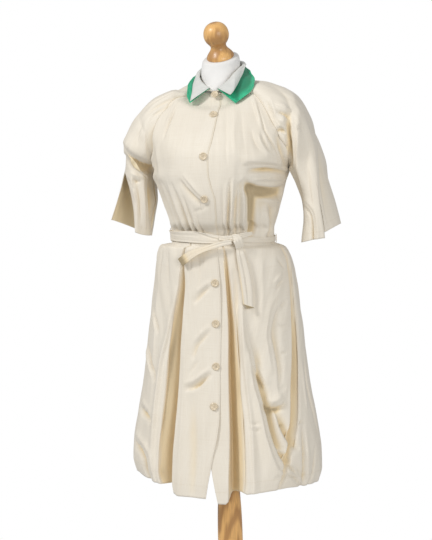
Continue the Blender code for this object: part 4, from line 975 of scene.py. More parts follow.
def lofted(name, *solids):
    """A mesh of closed solids, each through its rings of points. A ring of one point is a tip, other ends
    are flat."""
    bm = bmesh.new()
    for rings in solids:
        loops = [[bm.verts.new(p) for p in ring] for ring in rings]
        for low, high in zip(loops, loops[1:]):
            for c in range(max(len(low), len(high))):
                places = ((low, c), (low, c + 1), (high, c + 1), (high, c))
                bm.faces.new(list(dict.fromkeys(loop[place % len(loop)] for loop, place in places)))
        for end in (loops[0], loops[-1]):
            if len(end) > 1:
                bm.faces.new(end)
    bmesh.ops.recalc_face_normals(bm, faces=bm.faces)
    mesh = bpy.data.meshes.new(name)
    bm.to_mesh(mesh)
    bm.free()
    mesh.shade_smooth()
    return mesh


def circle(count):
    """Angles round a circle, in radians."""
    return np.linspace(0, 2 * math.pi, count, endpoint=False)


def round_ring(radius, height, count):
    return [(radius * math.cos(a), radius * math.sin(a), height) for a in circle(count)]


def turned_mesh(name, profile, segments, frame=None):
    """A solid turned about Z from a profile, rounded between its points."""
    radius, height = drawn_out(profile, "radius height", 4 * len(profile["radius"]) - 3)
    rings = [round_ring(r, h, segments if 0 < i < len(radius) - 1 else 1)
             for i, (r, h) in enumerate(zip(radius, height))]
    mesh = lofted(name, rings)
    mesh.transform(frame or Matrix())
    return mesh


def worn(obj, nodes, slot):
    """The piece rides on the body and stands for its solids."""
    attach(obj, "root")
    if nodes:
        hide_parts(*nodes)
    return obj


def sewn(name, node_name, panel, look="dress", slot="dress_cotton",
         wall=WALL, cut=None):
    """A sheet of cloth as a worn piece. The cut that it is sewn from is worked out, but not kept."""
    obj = worn(cloth(name, panel, wall, look, cut), [node_name], slot)
    flat, area = cut_of(panel[0])
    return obj


def cut_of(grid):
    """The cut of a panel: its width and length, and its area."""
    uv = metres_on(grid)
    width, length = uv[:, -1, 0].max(), uv[-1, :, 1].max()
    across, down = np.diff(grid, axis=1)[:-1], np.diff(grid, axis=0)[:, :-1]
    area = np.linalg.norm(np.cross(across, down), axis=-1).sum()
    return (round(float(width), 3), round(float(length), 3)), round(float(min(area, width * length)), 4)


def line_inside(grid, edge, distance, outward):
    """Points just over the cloth, this distance inside its first or last column or its bottom row."""
    points = grid + normals(grid) * outward * STITCH_LIFT
    if edge != "bottom":
        grid, points = np.swapaxes(grid, 0, 1), np.swapaxes(points, 0, 1)
    if edge != "first":
        grid, points = grid[::-1], points[::-1]
    run = run_along(grid)
    return np.array([[np.interp(distance, run[:, c], points[:, c, i]) for i in range(3)]
                     for c in range(grid.shape[1])])


# ------------ finishes
def node(tree, kind, links=None, **settings):
    """Adds a node. links gives its inputs by name or number: a socket to link, or a value to set."""
    made = tree.nodes.new(kind)
    for key, value in settings.items():
        setattr(made, key, value)
    for key, value in (links or {}).items():
        if isinstance(value, bpy.types.NodeSocket):
            tree.links.new(value, made.inputs[key])
        else:
            made.inputs[key].default_value = value
    return made


def shading(name, roughness, place=None, **sockets):
    """A material with its uniform values set on the shader's own sockets, its shader, and the place that
    its patterns follow: the "cloth" map or the "object" coordinates."""
    material = bpy.data.materials.new(name)
    material.use_nodes = True
    tree = material.node_tree
    shader = tree.nodes["Principled BSDF"]
    shader.inputs["Roughness"].default_value = roughness
    for key, value in sockets.items():
        shader.inputs[key.replace("_", " ")].default_value = value
    if place == "cloth":
        return material, shader, node(tree, "ShaderNodeUVMap", uv_map="cloth").outputs[0]
    return material, shader, node(tree, "ShaderNodeTexCoord").outputs["Object"] if place else None


def maths(operation, a, b=0.0):
    return node(a.id_data, "ShaderNodeMath", {0: a, 1: b}, operation=operation).outputs[0]


def noise_on(place, stretch=(1, 1, 1), detail=2.0, scale=1.0):
    spread = node(place.id_data, "ShaderNodeMapping", {"Vector": place, "Scale": stretch}).outputs[0]
    values = {"Vector": spread, "Scale": scale, "Detail": detail, "Roughness": 0.55}
    return node(place.id_data, "ShaderNodeTexNoise", values).outputs["Fac"]


def mixed(share, low, high):
    """A colour between two, each a socket or a plain colour."""
    low, high = (c if isinstance(c, bpy.types.NodeSocket) else (*c, 1) for c in (low, high))
    return node(share.id_data, "ShaderNodeMix", {0: share, 6: low, 7: high}, data_type="RGBA").outputs[2]


def banded(value, low, high, bottom=0.0, top=1.0):
    values = {0: value, 1: low, 2: high, 3: bottom, 4: top}
    return node(value.id_data, "ShaderNodeMapRange", values).outputs[0]


def shade_of(colour, share):
    return tuple(share * c for c in colour)


def fold_at(place):
    """How deep in a fold the point lies: the painted shade that the finishes lay on it."""
    return node(place.id_data, "ShaderNodeAttribute", attribute_name="fold").outputs["Fac"]


def weave_of(uv, pitch):
    """Plain weave on the cloth's map: warp and weft threads crossing at this pitch."""
    parts = node(uv.id_data, "ShaderNodeSeparateXYZ", {0: uv})
    warp, weft = (maths("SINE", maths("MULTIPLY", parts.outputs[i], 2 * math.pi / pitch)) for i in (0, 1))
    return maths("MULTIPLY", warp, weft)


def surfaced(shader, colour, *heights, roughness=None):
    """Links a colour and a bump from (value, height in metres), and the roughness where it varies."""
    links = shader.id_data.links
    links.new(colour, shader.inputs["Base Color"])
    if roughness:
        links.new(roughness, shader.inputs["Roughness"])
    total = None
    for value, height in heights:
        part = maths("MULTIPLY", value, height)
        total = maths("ADD", total, part) if total else part
    bump = node(shader.id_data, "ShaderNodeBump", {"Height": total, "Strength": 1.0, "Distance": 1.0})
    links.new(bump.outputs[0], shader.inputs["Normal"])


def dress_cotton(sizes, colours, name="dress_cotton", turned=None, least_fold=0.0):
    """Crisp unbleached cotton: plain weave, slubs, faint crinkles, and painted shade in its folds, warmer and
    then darker.
    """
    material, shader, uv = shading(name, 0.62, "cloth", Sheen_Weight=0.18, Sheen_Roughness=0.45,
                                   Specular_IOR_Level=0.35)
    fold = fold_at(uv)
    slub_down, slub_across = noise_on(uv, (700, 16, 1)), noise_on(uv, (14, 900, 1))
    crinkle, cloudy = noise_on(uv, (105, 16, 1), 4.0), noise_on(uv, (9, 5, 1))
    lit = mixed(banded(cloudy, 0.35, 0.65), colours.cream, colours.cream_light)
    threads = mixed(banded(maths("ADD", slub_down, slub_across), 0.95, 1.35, 0.0, 0.6), lit, colours.thread)
    # painted shade: by the fold attribute the cotton turns to the fold colour, and past 1 to the darkest
    # colour
    painted_fold_shade = mixed(banded(fold, 0.0, 1.0, least_fold), threads, turned or colours.fold)
    deep = mixed(banded(fold, 1.0, 2.0), painted_fold_shade, colours.deep)
    surfaced(shader, deep, (weave_of(uv, sizes.weave), 0.00001), (slub_down, 0.00006),
             (slub_across, 0.00003), (crinkle, sizes.crinkle),
             roughness=banded(slub_down, 0.3, 0.7, 0.52, 0.70))
    return material


def dress_inside(sizes, colours):
    """The same cotton seen from inside, with painted light: a brighter, warmer colour stands for light coming
    through it.
    """
    return dress_cotton(sizes, colours, "dress_inside", colours.inside, 0.9)


def collar_cotton(sizes, colours):
    """White cotton of the upper collar, a little closer in its weave."""
    material, shader, uv = shading("collar_cotton", 0.7, "cloth", Sheen_Weight=0.15, Specular_IOR_Level=0.3)
    cloudy = noise_on(uv, (70, 45, 1), 4.0)
    surfaced(shader, mixed(banded(cloudy, 0.35, 0.7), colours.white, shade_of(colours.white, 0.93)),
             (weave_of(uv, sizes.weave), 0.00003), (cloudy, 0.0004))
    return material


def collar_satin(sizes, colours):
    """Green satin of the under collar, its floats running round the neck, with painted shadow of the white
    leaf away from its free edges.
    """
    material, shader, uv = shading("collar_satin", 0.36, "cloth", Anisotropic=0.55, Sheen_Weight=0.1,
                                   Specular_IOR_Level=0.6)
    floats, ripple = noise_on(uv, (60, 1400, 1)), noise_on(uv, (34, 60, 1), 3.0)
    rippled = mixed(banded(ripple, 0.3, 0.7), shade_of(colours.green, 0.62), colours.green)
    # painted shadow: darker green by the fold attribute
    deep = mixed(banded(fold_at(uv), 0.0, 1.0, 0.0, 0.85), rippled, shade_of(colours.green, 0.36))
    surfaced(shader, deep, (floats, 0.00008), (ripple, 0.0006),
             roughness=banded(floats, 0.3, 0.7, 0.30, 0.44))
    return material


def button_horn(sizes, colours):
    """Pale horn with a faint cloud of darker grain."""
    material, shader, place = shading("button_horn", 0.28, "object", Coat_Weight=0.35, Coat_Roughness=0.15,
                                      Subsurface_Weight=0.0)
    grain = noise_on(place, (1, 1, 3), 4.0, 190.0)
    surfaced(shader, mixed(banded(grain, 0.35, 0.7), colours.horn, shade_of(colours.horn, 0.66)),
             (grain, 0.00006))
    return material


def form_jersey(sizes, colours):
    """Knitted cover of the dress form: fine wales in columns, slightly uneven."""
    material, shader, place = shading("form_cover", 0.85, "object", Sheen_Weight=0.25, Specular_IOR_Level=0.2)
    wales, courses = noise_on(place, (900, 900, 60)), noise_on(place, (120, 120, 1100))
    cloudy = noise_on(place, detail=3.0, scale=16.0)
    surfaced(shader, mixed(banded(cloudy, 0.35, 0.7), colours.form, shade_of(colours.form, 0.92)),
             (wales, 0.0003), (courses, 0.0002), (cloudy, 0.0015))
    return material


def turned_wood(sizes, colours):
    """Oiled beech: grain along the axis, growth rings that show at the turns, and fine pores."""
    material, shader, place = shading("stand_wood", 0.38, "object", Coat_Weight=0.25, Coat_Roughness=0.25)
    turn = {"Vector": place, "Rotation": (0.06, 0.09, 0.4), "Scale": (1, 0.45, 0.10)}
    bent = node(place.id_data, "ShaderNodeMapping", turn).outputs[0]
    wave = {"Vector": bent, "Scale": 34.0, "Distortion": 5.0, "Detail": 3.0, "Detail Scale": 1.6}
    rings = node(place.id_data, "ShaderNodeTexWave", wave, wave_type="RINGS").outputs["Fac"]
    fibre, pores = noise_on(place, (520, 520, 14), 4.0), noise_on(place, (1500, 1500, 90))
    base = mixed(banded(rings, 0.2, 0.9), colours.wood, colours.wood_dark)
    grained = mixed(banded(fibre, 0.35, 0.75, 0.0, 0.6), base, colours.wood_dark)
    surfaced(shader, grained, (fibre, 0.00008), (pores, 0.00005),
             roughness=banded(pores, 0.4, 0.7, 0.32, 0.5))
    return material


def thread_finish(name, colour):
    """Sewing thread, two plies twisted together."""
    material, shader, place = shading(name, 0.55, "object", Sheen_Weight=0.3)
    ply = noise_on(place, scale=1600.0)
    surfaced(shader, mixed(banded(ply, 0.4, 0.6), colour, shade_of(colour, 0.8)), (ply, 0.0001))
    return material


MAKERS = {"dress": dress_cotton, "dress_inside": dress_inside, "white": collar_cotton, "satin": collar_satin,
          "horn": button_horn, "jersey": form_jersey, "wood": turned_wood}
THREADS = {"cream_thread": "thread_cream", "white_thread": "white", "green_thread": "green"}
FINISHES = {}  # the name of each finish's material, once it is made


def finish(name):
    """A finish by name, made once from the scene's sizes and colours."""
    sizes, colours = bpy.context.scene.dress_sizes, bpy.context.scene.dress_colours
    if name in THREADS and name not in FINISHES:
        FINISHES[name] = thread_finish(name, getattr(colours, THREADS[name])).name
    elif name not in FINISHES:
        FINISHES[name] = MAKERS[name](sizes, colours).name
    return bpy.data.materials[FINISHES[name]]


# ------------ what repeats
def node_group(name, *sockets):
    tree = bpy.data.node_groups.new(name, "GeometryNodeTree")
    for label, kind, value in (("Geometry", "Geometry", None), *sockets):
        socket = tree.interface.new_socket(label, in_out="INPUT", socket_type=f"NodeSocket{kind}")
        if value is not None:
            socket.default_value = value
    tree.interface.new_socket("Geometry", in_out="OUTPUT", socket_type="NodeSocketGeometry")
    return tree, tree.nodes.new("NodeGroupInput").outputs


def made_real(tree, places, material):
    """Ends a tree: its instances made real, in one material."""
    real = node(tree, "GeometryNodeRealizeInstances", {0: places.outputs[0]})
    done = node(tree, "GeometryNodeSetMaterial", {"Geometry": real.outputs[0], "Material": material})
    tree.links.new(done.outputs[0], tree.nodes.new("NodeGroupOutput").inputs[0])
    return tree


def grown(name, mesh, tree, values, look):
    """The plain mesh that a node tree makes of a mesh, as an object in one finish."""
    source = placed(f"{name}_path", mesh, finish(look))
    grow = source.modifiers.new("Grow", "NODES")
    grow.node_group = tree
    values = dict(values, Finish=finish(look))
    for item in tree.interface.items_tree:
        if item.in_out == "INPUT" and item.name in values:
            grow[item.identifier] = values[item.name]
    shape = bpy.data.meshes.new_from_object(source.evaluated_get(bpy.context.evaluated_depsgraph_get()))
    bpy.data.objects.remove(source)
    shape.name = name
    shape.shade_smooth()
    return placed(name, shape, *([] if shape.materials else [finish(look)]))


def stitch_tree():
    """Even stitches along the edges of a mesh of lines."""
    tree, given = node_group("Stitches", ("Pitch", "Float", 0.003), ("Length", "Float", 0.0022),
                             ("Thickness", "Float", 0.0005), ("Finish", "Material", None))
    curve = node(tree, "GeometryNodeMeshToCurve", {0: given["Geometry"]})
    even = node(tree, "GeometryNodeResampleCurve", {"Curve": curve.outputs[0], "Length": given["Pitch"]},
                mode="LENGTH")
    ball = node(tree, "GeometryNodeMeshUVSphere", {"Segments": 6, "Rings": 5, "Radius": 0.5})
    thick = given["Thickness"]
    size = node(tree, "ShaderNodeCombineXYZ", {0: given["Length"], 1: thick, 2: thick})
    stitch = node(tree, "GeometryNodeTransform", {"Geometry": ball.outputs[0], "Scale": size.outputs[0]})
    tangent = node(tree, "GeometryNodeInputTangent")
    turn = node(tree, "FunctionNodeAlignRotationToVector", {"Vector": tangent.outputs[0]}, axis="X")
    lay = node(tree, "GeometryNodeInstanceOnPoints",
               {"Points": even.outputs[0], "Instance": stitch.outputs[0], "Rotation": turn.outputs[0]})
    return made_real(tree, lay, given["Finish"])


def stitched(name, lines, look, slot, pitch=None, length=None):
    """Stitches of one thread along some lines, as one piece."""
    sizes = bpy.context.scene.dress_sizes
    mesh = bpy.data.meshes.new(name)
    points, edges = [], []
    for line in lines:
        edges += [(len(points) + i, len(points) + i + 1) for i in range(len(line) - 1)]
        points += [tuple(p) for p in line]
    mesh.from_pydata(points, edges, [])
    tree = bpy.data.node_groups.get("Stitches") or stitch_tree()
    values = {"Pitch": pitch or sizes.stitch_pitch, "Length": length or sizes.stitch_length,
              "Thickness": sizes.stitch_thickness}
    worn(grown(name, mesh, tree, values, look), [], slot)


def button_row_tree():
    """One button on each point, turned to the point's "facing" and upright along its "upright"."""
    tree, given = node_group("Button row", ("Button", "Object", None), ("Size", "Float", 1.0),
                             ("Finish", "Material", None))
    button = node(tree, "GeometryNodeObjectInfo", {"Object": given["Button"]})
    facing, upright = (node(tree, "GeometryNodeInputNamedAttribute", {"Name": name}, data_type="FLOAT_VECTOR")
                       for name in ("facing", "upright"))
    face = node(tree, "FunctionNodeAlignRotationToVector", {"Vector": facing.outputs[0]}, axis="Z")
    turn = node(tree, "FunctionNodeAlignRotationToVector",
                {"Rotation": face.outputs[0], "Vector": upright.outputs[0]}, axis="Y", pivot_axis="Z")
    lay = node(tree, "GeometryNodeInstanceOnPoints",
               {"Points": given["Geometry"], "Instance": button.outputs["Geometry"],
                "Rotation": turn.outputs[0], "Scale": given["Size"]})
    return made_real(tree, lay, given["Finish"])


# ------------ the worn pieces, point by point
UNDER_COLLAR = 0.0100  # how far the collar presses the cloth down round the front of the neck


def front_share(points):
    """1 on the front of the dress and 0 on its back. Round a sleeve the folds fade slowly."""
    on_sleeve = ramp(0.150, 0.200, abs(points[..., 0]))
    behind, ahead = SHOULDER_Y + 0.004 + 0.046 * on_sleeve, SHOULDER_Y - 0.030 - 0.020 * on_sleeve
    return ramp(0, 1, (points[..., 1] - behind) / (ahead - behind))


def under_collar(height, points):
    """The folds' height, dying away towards the neck seam and pressed down in front by the collar."""
    ring = neckline(np.linspace(0, 360, 72, endpoint=False))
    apart = np.linalg.norm(points[..., None, :] - ring, axis=-1).min(-1)
    in_front = 0.1 + 0.9 * ramp(0.020, -0.020, points[..., 1])
    at_seam = (0.6 + 0.4 * ramp(0.0, 0.022, apart)) * (1 + 0.35 * ramp(-0.02, -0.05, points[..., 0]))
    pressed = UNDER_COLLAR * in_front * at_seam * ramp(0.066, 0.034, apart)
    return height * ramp(0.014, 0.050, apart) - pressed


def raised(grid, outward, height, seams=None):
    """The grid moved out by the folds' height. seams is 1 where the cloth meets the next piece: there
    both move straight away from the body's middle, and so stay together."""
    way = outward * normals(grid)
    if seams is not None:
        apart = unit((grid - (0, SHOULDER_Y, 1.28)) * (1, 1, 0.5))
        way = unit(way + seams[..., None] * (apart - way))
    return grid + way * height[..., None]


def seamed(distance):
    """The slight trough of a seam, from the distance to it on the cloth."""
    return -0.0007 * np.exp(-(distance / 0.0014) ** 2)


def laid_in_front(grid, side):
    """Height of one side's folds, which run on from the bodice over the raglan seam into the sleeve."""
    return laid(grid[..., (0, 2)], led_on(read_folds(UPPER_FOLDS[side], 0.001), 1.075)) * front_share(grid)


def painted_shade_of(height, inset=0.0):
    """Painted shade of a fold: up to 1 it grows warmer with its depth, and from 1 to 2 darker; a pleat's inset
    adds to it.
    """
    return 0.8 * ramp(0.001, 0.013, -height) + 0.9 * ramp(0.006, 0.016, -height) + ramp(0.0, 0.014, inset)


def front_panel(side):
    """A bodice front: its grid with its folds, its map, its painted shade and its outward sense."""
    sizes = bpy.context.scene.dress_sizes
    rows = bodice_rows(66, 52)
    grid = trimmed(front_grid(side, rows, 146), top=SEAM)
    uv = metres_on(grid)
    waist = 0.3 + 0.7 * ramp(0.006, 0.026, grid[..., 2] - WAIST_Z)
    to_edge, to_seam = to_edges(uv)[:2]
    in_side_seam = (rows < UNDERARM_ROW)[:, None] * ramp(0.008, 0.0, to_seam)
    height = laid_in_front(grid, side) * waist * sizes.folds * (1 - in_side_seam)
    seed = {"left": 11, "right": 12}[side]
    height += streaks(uv, seed, sizes.unevenness) * calm(uv, 0.01, 0.012, 0.012, 0.012)
    # edge: a slight dip along the right front's free edge, which also gets painted shade
    edge = np.exp(-(to_edge / 0.0022) ** 2) * (side == "right")
    height += seamed(to_seam) - 0.0005 * edge
    grid = raised(grid, SIGN[side], under_collar(height, grid), ramp(0.02, 0.0, to_seam))
    return grid, uv, painted_shade_of(height) + 0.4 * edge, SIGN[side]


def back_panel():
    sizes = bpy.context.scene.dress_sizes
    grid = trimmed(back_grid(bodice_rows(60, 48), 101), top=SEAM)
    uv = metres_on(grid, 50)
    gathers = scattered(21, 22, (-0.125, 0.125), 1.205, 0.14, 4.4, 5, lean=-0.35)
    yoke = scattered(22, 9, (-0.105, 0.105), 1.435, 0.15, 2.8, 9, lean=0.5)
    height = laid(grid[..., (0, 2)], led_on(gathers + yoke, 1.10))
    waist = ramp(0.0, 0.022, grid[..., 2] - WAIST_Z)
    height *= (1 - front_share(grid)) * (0.22 + 0.78 * waist) * sizes.folds * calm(uv, 0.012, 0.012, 0, 0.012)
    height += streaks(uv, 13, sizes.unevenness) * calm(uv, 0.012, 0.012, 0.012, 0.012)
    to_seam = np.minimum(*to_edges(uv)[:2])
    height += seamed(to_seam)
    # the folds' height also gives their painted shade
    return raised(grid, -1, under_collar(height, grid), ramp(0.02, 0.0, to_seam)), uv, painted_shade_of(height), -1


def sleeve_panel(side):
    """A sleeve with its folds, and its slit: where it starts, its column, and the grid of its front
    flap."""
    sizes = bpy.context.scene.dress_sizes
    half, sign, seed = 104, SIGN[side], {"left": 31, "right": 32}[side]
    upper = bodice_rows(6, 48)[6:]
    ring_rows = np.concatenate([np.linspace(0, 1.5, 28)[1:], np.linspace(1.5, CUFF_ROW, 38)[1:]])
    grid = trimmed(sleeve_grid(side, upper, ring_rows, half), bottom=SEAM)
    step = VENT[side]["step"] * half // 8
    uv = metres_on(grid, half)
    # the hidden side hangs in like folds, from the shoulder's back to the cuff
    behind = scattered(seed, 8, (0.17 * sign, 0.275 * sign), 1.36, 0.22, 3.6, 8, lean=-0.1)
    blades = scattered(seed + 2, 5, (0.07 * sign, 0.17 * sign), 1.43, 0.12, 3.0, 8)
    height = laid_in_front(grid, side) + laid(grid[..., (0, 2)], behind + blades) * (1 - front_share(grid))
    height *= sizes.folds * calm(uv, 0, 0.008)
    height += streaks(uv, seed + 4, sizes.unevenness) * calm(uv, 0.012, 0.012, 0.012)
    to_seam = np.minimum(*to_edges(uv)[:2])
    height += seamed(to_seam)
    # painted shade, from the folds' height
    tone = painted_shade_of(height)
    height = under_collar(height, grid)
    seams = ramp(0.02, 0.0, to_seam) * (np.arange(len(grid)) < len(upper))[:, None]
    front, back = (raised(flap, -sign, height, seams) for flap in slit_sleeve(grid, side, ring_rows, step))
    top = len(upper) + int(np.argmin(abs(ring_rows - VENT[side]["top"])))
    return (back, uv, tone, -sign), (top, step, front)


SKIRT_PANELS = {
    "right_front": (1, 140, [lambda d: edge_angle("over", d), ("to", lip("right_front", "near"), 50),
                             ("pleat", "right_front", 46), ("to", at(-60), 46),
                              ("to", at(SIDE_SEAM_RIGHT), 50)]),
    "left_front": (-1, 150, [lambda d: edge_angle("under", d), ("to", lip("left_front", "near"), 28),
                             ("pleat", "left_front", 46), ("to", lip("left_side", "near"), 84),
                             ("pleat", "left_side", 30), ("to", at(SIDE_SEAM_LEFT), 40)]),
    "back": (-1, 116, [at(SIDE_SEAM_LEFT), ("to", lip("back_left", "near"), 44), ("pleat", "back_left", 22),
                       ("to", lip("back_right", "near"), 52), ("pleat", "back_right", 22),
                       ("to", lip("right_side", "near"), 34), ("pleat", "right_side", 18),
                       ("to", at(360 + SIDE_SEAM_RIGHT), 10)]),
}
STREAK_SEEDS = {"right_front": 43, "left_front": 44, "back": 45}


def skirt_panel(name):
    """A skirt panel: its grid with its folds, its map, its painted shade in its folds and deeper in its
    pleats, and its outward sense.
    """
    sizes = bpy.context.scene.dress_sizes
    outward, row_count, spans = SKIRT_PANELS[name]
    behind = name == "back"
    drops = np.linspace(0, 1, row_count) ** 1.04
    grid, angles, insets = skirt_grid(name, drops, spans)
    gap = np.where(drops > 0.5, 2 * SEAM, SEAM)
    grid = trimmed(grid, first=gap if behind else 0.0, last=gap)
    uv = metres_on(grid, grid.shape[1] // 2 if behind else 0)
    rows = read_folds(SKIRT_FOLDS, (1, 0.001))
    if behind:
        rows += skirt_gathers(41, 34, 96, 264, 2.6) + scattered_round(42, 17, 98, 262)
    rows = led_on([(*sizes_of, skirt_chart(knots)) for *sizes_of, knots in rows], 0.486)
    height = laid(skirt_chart(np.stack([angles, grid[..., 2]], -1)), rows)
    on_lip = 1 - 0.6 * np.clip(insets / 0.02, 0, 1)
    height *= on_lip * (0.3 + 0.7 * ramp(0.0, 0.05, drops))[:, None] * sizes.folds
    along = streaks(uv, STREAK_SEEDS[name], 1.25 * sizes.unevenness)
    height += along * calm(uv, 0.012 if behind else 0, 0.012, 0.012) * on_lip
    return raised(grid, outward, height), uv, painted_shade_of(height, insets), outward


# ------------ sizes and colours a user would change
def length(name, description, default):
    return FloatProperty(name=name, description=description, default=default, min=0.0, soft_max=0.1,
                         precision=5, unit="LENGTH", subtype="DISTANCE")


def colour(name, description, default):
    return FloatVectorProperty(name=name, description=description, default=default, size=3, min=0.0, max=1.0,
                               subtype="COLOR")


def power(name, description, default):
    return FloatProperty(name=name, description=description, default=default, min=0.0, unit="POWER")


class DressSizes(bpy.types.PropertyGroup):
    """Sizes of the cloth's folds, weave and sewing."""
    folds: FloatProperty(name="Folds", description="How deep the laid folds are, as a share of their tables",
                         default=1.75, min=0.0, soft_max=2.5, subtype="FACTOR")
    unevenness: length("Unevenness", "Height of the slight streaks along the cloth's grain", 0.0006)
    crinkle: length("Crinkle", "Height of the fine crinkles in the cotton", 0.0006)
    weave: length("Weave", "Pitch of the weave's threads", 0.0007)
    stitch_pitch: length("Stitch pitch", "From one stitch to the next", 0.0032)
    stitch_length: length("Stitch length", "Length of a stitch", 0.0024)
    stitch_thickness: length("Stitch thickness", "Thickness of the sewing thread", 0.00045)
    button_scale: FloatProperty(name="Button scale", description="Size of the buttons, as a share of 19 mm",
                                default=1.0, min=0.5, max=1.5)


class DressColours(bpy.types.PropertyGroup):
    """Colours of the cloths, buttons, form and stand."""
    cream: colour("Cotton", "The dress's unbleached cotton", (0.80, 0.735, 0.625))
    cream_light: colour("Cotton, paler", "Its paler clouds", (0.83, 0.77, 0.665))
    thread: colour("Slub", "The darker slubs in its weave", (0.74, 0.66, 0.54))
    # painted shade: the cotton's colour deep in a fold
    fold: colour("Fold", "The cotton deep in a fold", (0.80, 0.655, 0.425))
    # painted light: the inner face of the cloth, brighter and warmer as if lit through
    inside: colour("Inside", "The cotton seen from inside, lit through", (0.97, 0.83, 0.57))
    # painted shade: the darkest colour, in the deepest folds
    deep: colour("Deepest fold", "The cotton where a fold is deepest", (0.37, 0.295, 0.18))
    thread_cream: colour("Cream thread", "Thread of the dress's seams", (0.78, 0.68, 0.52))
    white: colour("White cotton", "The upper collar", (0.72, 0.725, 0.69))
    green: colour("Green satin", "The under collar", (0.035, 0.56, 0.29))
    horn: colour("Horn", "The buttons", (0.80, 0.67, 0.48))
    form: colour("Jersey", "The dress form's knitted cover", (0.86, 0.85, 0.83))
    wood: colour("Wood", "The finial, post and base", (0.90, 0.53, 0.19))
    wood_dark: colour("Wood, darker", "Its darker grain", (0.50, 0.26, 0.09))


class DressStage(bpy.types.PropertyGroup):
    """The floor, the lights and the camera."""
    floor_radius: length("Floor radius", "Radius of the pale floor", 1.0)
    key: power("Key light", "Power of the key light", 142.0)
    fill: power("Fill light", "Power of the fill light", 44.0)
    room: FloatProperty(name="Room light", description="Strength of the white surroundings", default=0.42)
    azimuth: FloatProperty(name="Azimuth", description="How far the camera stands to the wearer's left",
                           default=math.radians(13.5), subtype="ANGLE", unit="ROTATION")
    distance: length("Distance", "From the stand's axis to the camera", 3.8)
    height: length("Height", "Height of the camera", 1.30)


# ------------ one operator for each piece or group
class DRESS_OT_bodice(bpy.types.Operator):
    """Builds the two fronts and the back of the bodice"""
    bl_idname = "dress.bodice"
    bl_label = "Bodice"

    def execute(self, context):
        for side in ("right", "left"):
            sewn(f"front_{side}", f"bodice_front_{side}", front_panel(side))
        sewn("back", "bodice_back", back_panel())
        return {"FINISHED"}


class DRESS_OT_sleeves(bpy.types.Operator):
    """Builds the raglan sleeves with the slits in their cuffs"""
    bl_idname = "dress.sleeves"
    bl_label = "Sleeves"

    def execute(self, context):
        for side in SIGN:
            panel, slit = sleeve_panel(side)
            sewn(f"raglan_{side}", f"sleeve_{side}", panel, cut=slit)
        return {"FINISHED"}


class DRESS_OT_skirt(bpy.types.Operator):
    """Builds the skirt's two fronts and its back, with their unpressed pleats"""
    bl_idname = "dress.skirt"
    bl_label = "Skirt"

    def execute(self, context):
        for name, node_name in (("right_front", "skirt_front_right"), ("left_front", "skirt_front_left"),
                                ("back", "skirt_back")):
            sewn(f"panel_{name}", node_name, skirt_panel(name))
        return {"FINISHED"}


class DRESS_OT_collar(bpy.types.Operator):
    """Builds the collar stand, the green under leaf and the white upper leaf"""
    bl_idname = "dress.collar"
    bl_label = "Collar"

    def execute(self, context):
        grid = stand_grid(220, 9)
        panel = grid, metres_on(grid), None, -1
        sewn("stand_cloth", "collar_stand", panel, wall=LEAF_WALL)
        for leaf, look, slot in (("green", "satin", "collar_satin"), ("white", "white", "collar_cotton")):
            sewn(f"leaf_{leaf}", f"collar_{leaf}", leaf_panel(leaf), look, slot,
                 LEAF_WALL)
        return {"FINISHED"}


def leaf_panel(leaf):
    """A collar leaf with the slight swell of a turned edge along its free sides."""
    grid = leaf_grid(leaf, 110, 26)
    uv = metres_on(grid, 109)
    first, last, _, bottom = to_edges(uv)
    inside = np.minimum.reduce([first, last, bottom])
    height = 0.0003 * np.exp(-((inside - 0.0012) / 0.0011) ** 2)
    height -= 0.0002 * np.exp(-((inside - LEAF_STITCH) / 0.001) ** 2)
    height += streaks(uv, {"white": 51, "green": 52}[leaf], 0.0003) * ramp(0.008, 0.02, uv[..., 1])
    # painted shadow: the leaf grows darker away from its free edges, where the white leaf lies over the green
    return raised(grid, -1, height), uv, ramp(0.010, 0.027, inside), -1


class DRESS_OT_belt(bpy.types.Operator):
    """Builds the tie belt, its knot and tails, and the thread loops that carry it"""
    bl_idname = "dress.belt"
    bl_label = "Belt"

    def execute(self, context):
        panel = belt_panel()
        band = worn(cloth("belt_cloth", panel, WALL, "dress", closed=True), ["belt_band"], "dress_cotton")
        knot = lofted("knot_cloth", *(strand_rings(strand) for strand in KNOT_STRANDS.values()))
        knot = worn(mapped(placed("knot_cloth", knot, finish("dress"))), ["belt_knot"], "dress_cotton")
        for tail in TAILS:
            sewn(f"tie_{tail}", f"belt_tail_{tail}", tail_panel(tail))
        flat, area = cut_of(panel[0])
        for side in LOOPS:
            name = f"thread_loop_{side}"
            loop = placed(name, lofted(name, loop_rings(**LOOPS[side])), finish("cream_thread"))
            worn(loop, [f"belt_loop_{side}"], "dress_cotton")
        return {"FINISHED"}


# How the belt fans out to the right of the knot: the angle where it is most, its reach, and what it adds
# to the belt's height and level.
FAN_ANGLE, FAN_REACH, FAN_HEIGHT, FAN_RISE = -14.0, 26.0, 0.013, 0.0075
# Lengthwise creases of the belt: rise in mm, then pairs of an angle and a share of the height.
BELT_CREASES = (
    (-1.5, -46, 0.50, -30, 0.46, -18, 0.40, -6, 0.20, 6, -0.02, 18, -0.14, 28, -0.20),
    (1.2, -40, 0.62, -26, 0.56, -14, 0.48, -2, 0.30, 10, 0.14, 24, 0.02),
    (-0.9, -85, -0.24, -55, -0.30, -30, -0.34, -8, -0.36, 12, -0.40),
    (0.8, -90, 0.10, -60, 0.06, -34, 0.02, -12, -0.06),
    (-1.0, 40, -0.22, 55, -0.16, 72, -0.20, 88, -0.26),
    (0.8, 44, 0.20, 60, 0.16, 80, 0.24),
    (-1.0, 104, 0.10, 130, 0.02, 160, 0.12, 176, 0.20),
    (0.8, 110, -0.26, 140, -0.20, 170, -0.28),
    (-1.0, -172, -0.12, -150, 0.04, -128, -0.06, -104, 0.10),
    (0.7, -165, 0.26, -140, 0.22, -112, 0.30),
)


def creased(distance, reach):
    """A crisp crease of height 1, at a distance from its line."""
    return np.exp(-(abs(distance) / reach) ** 1.3)


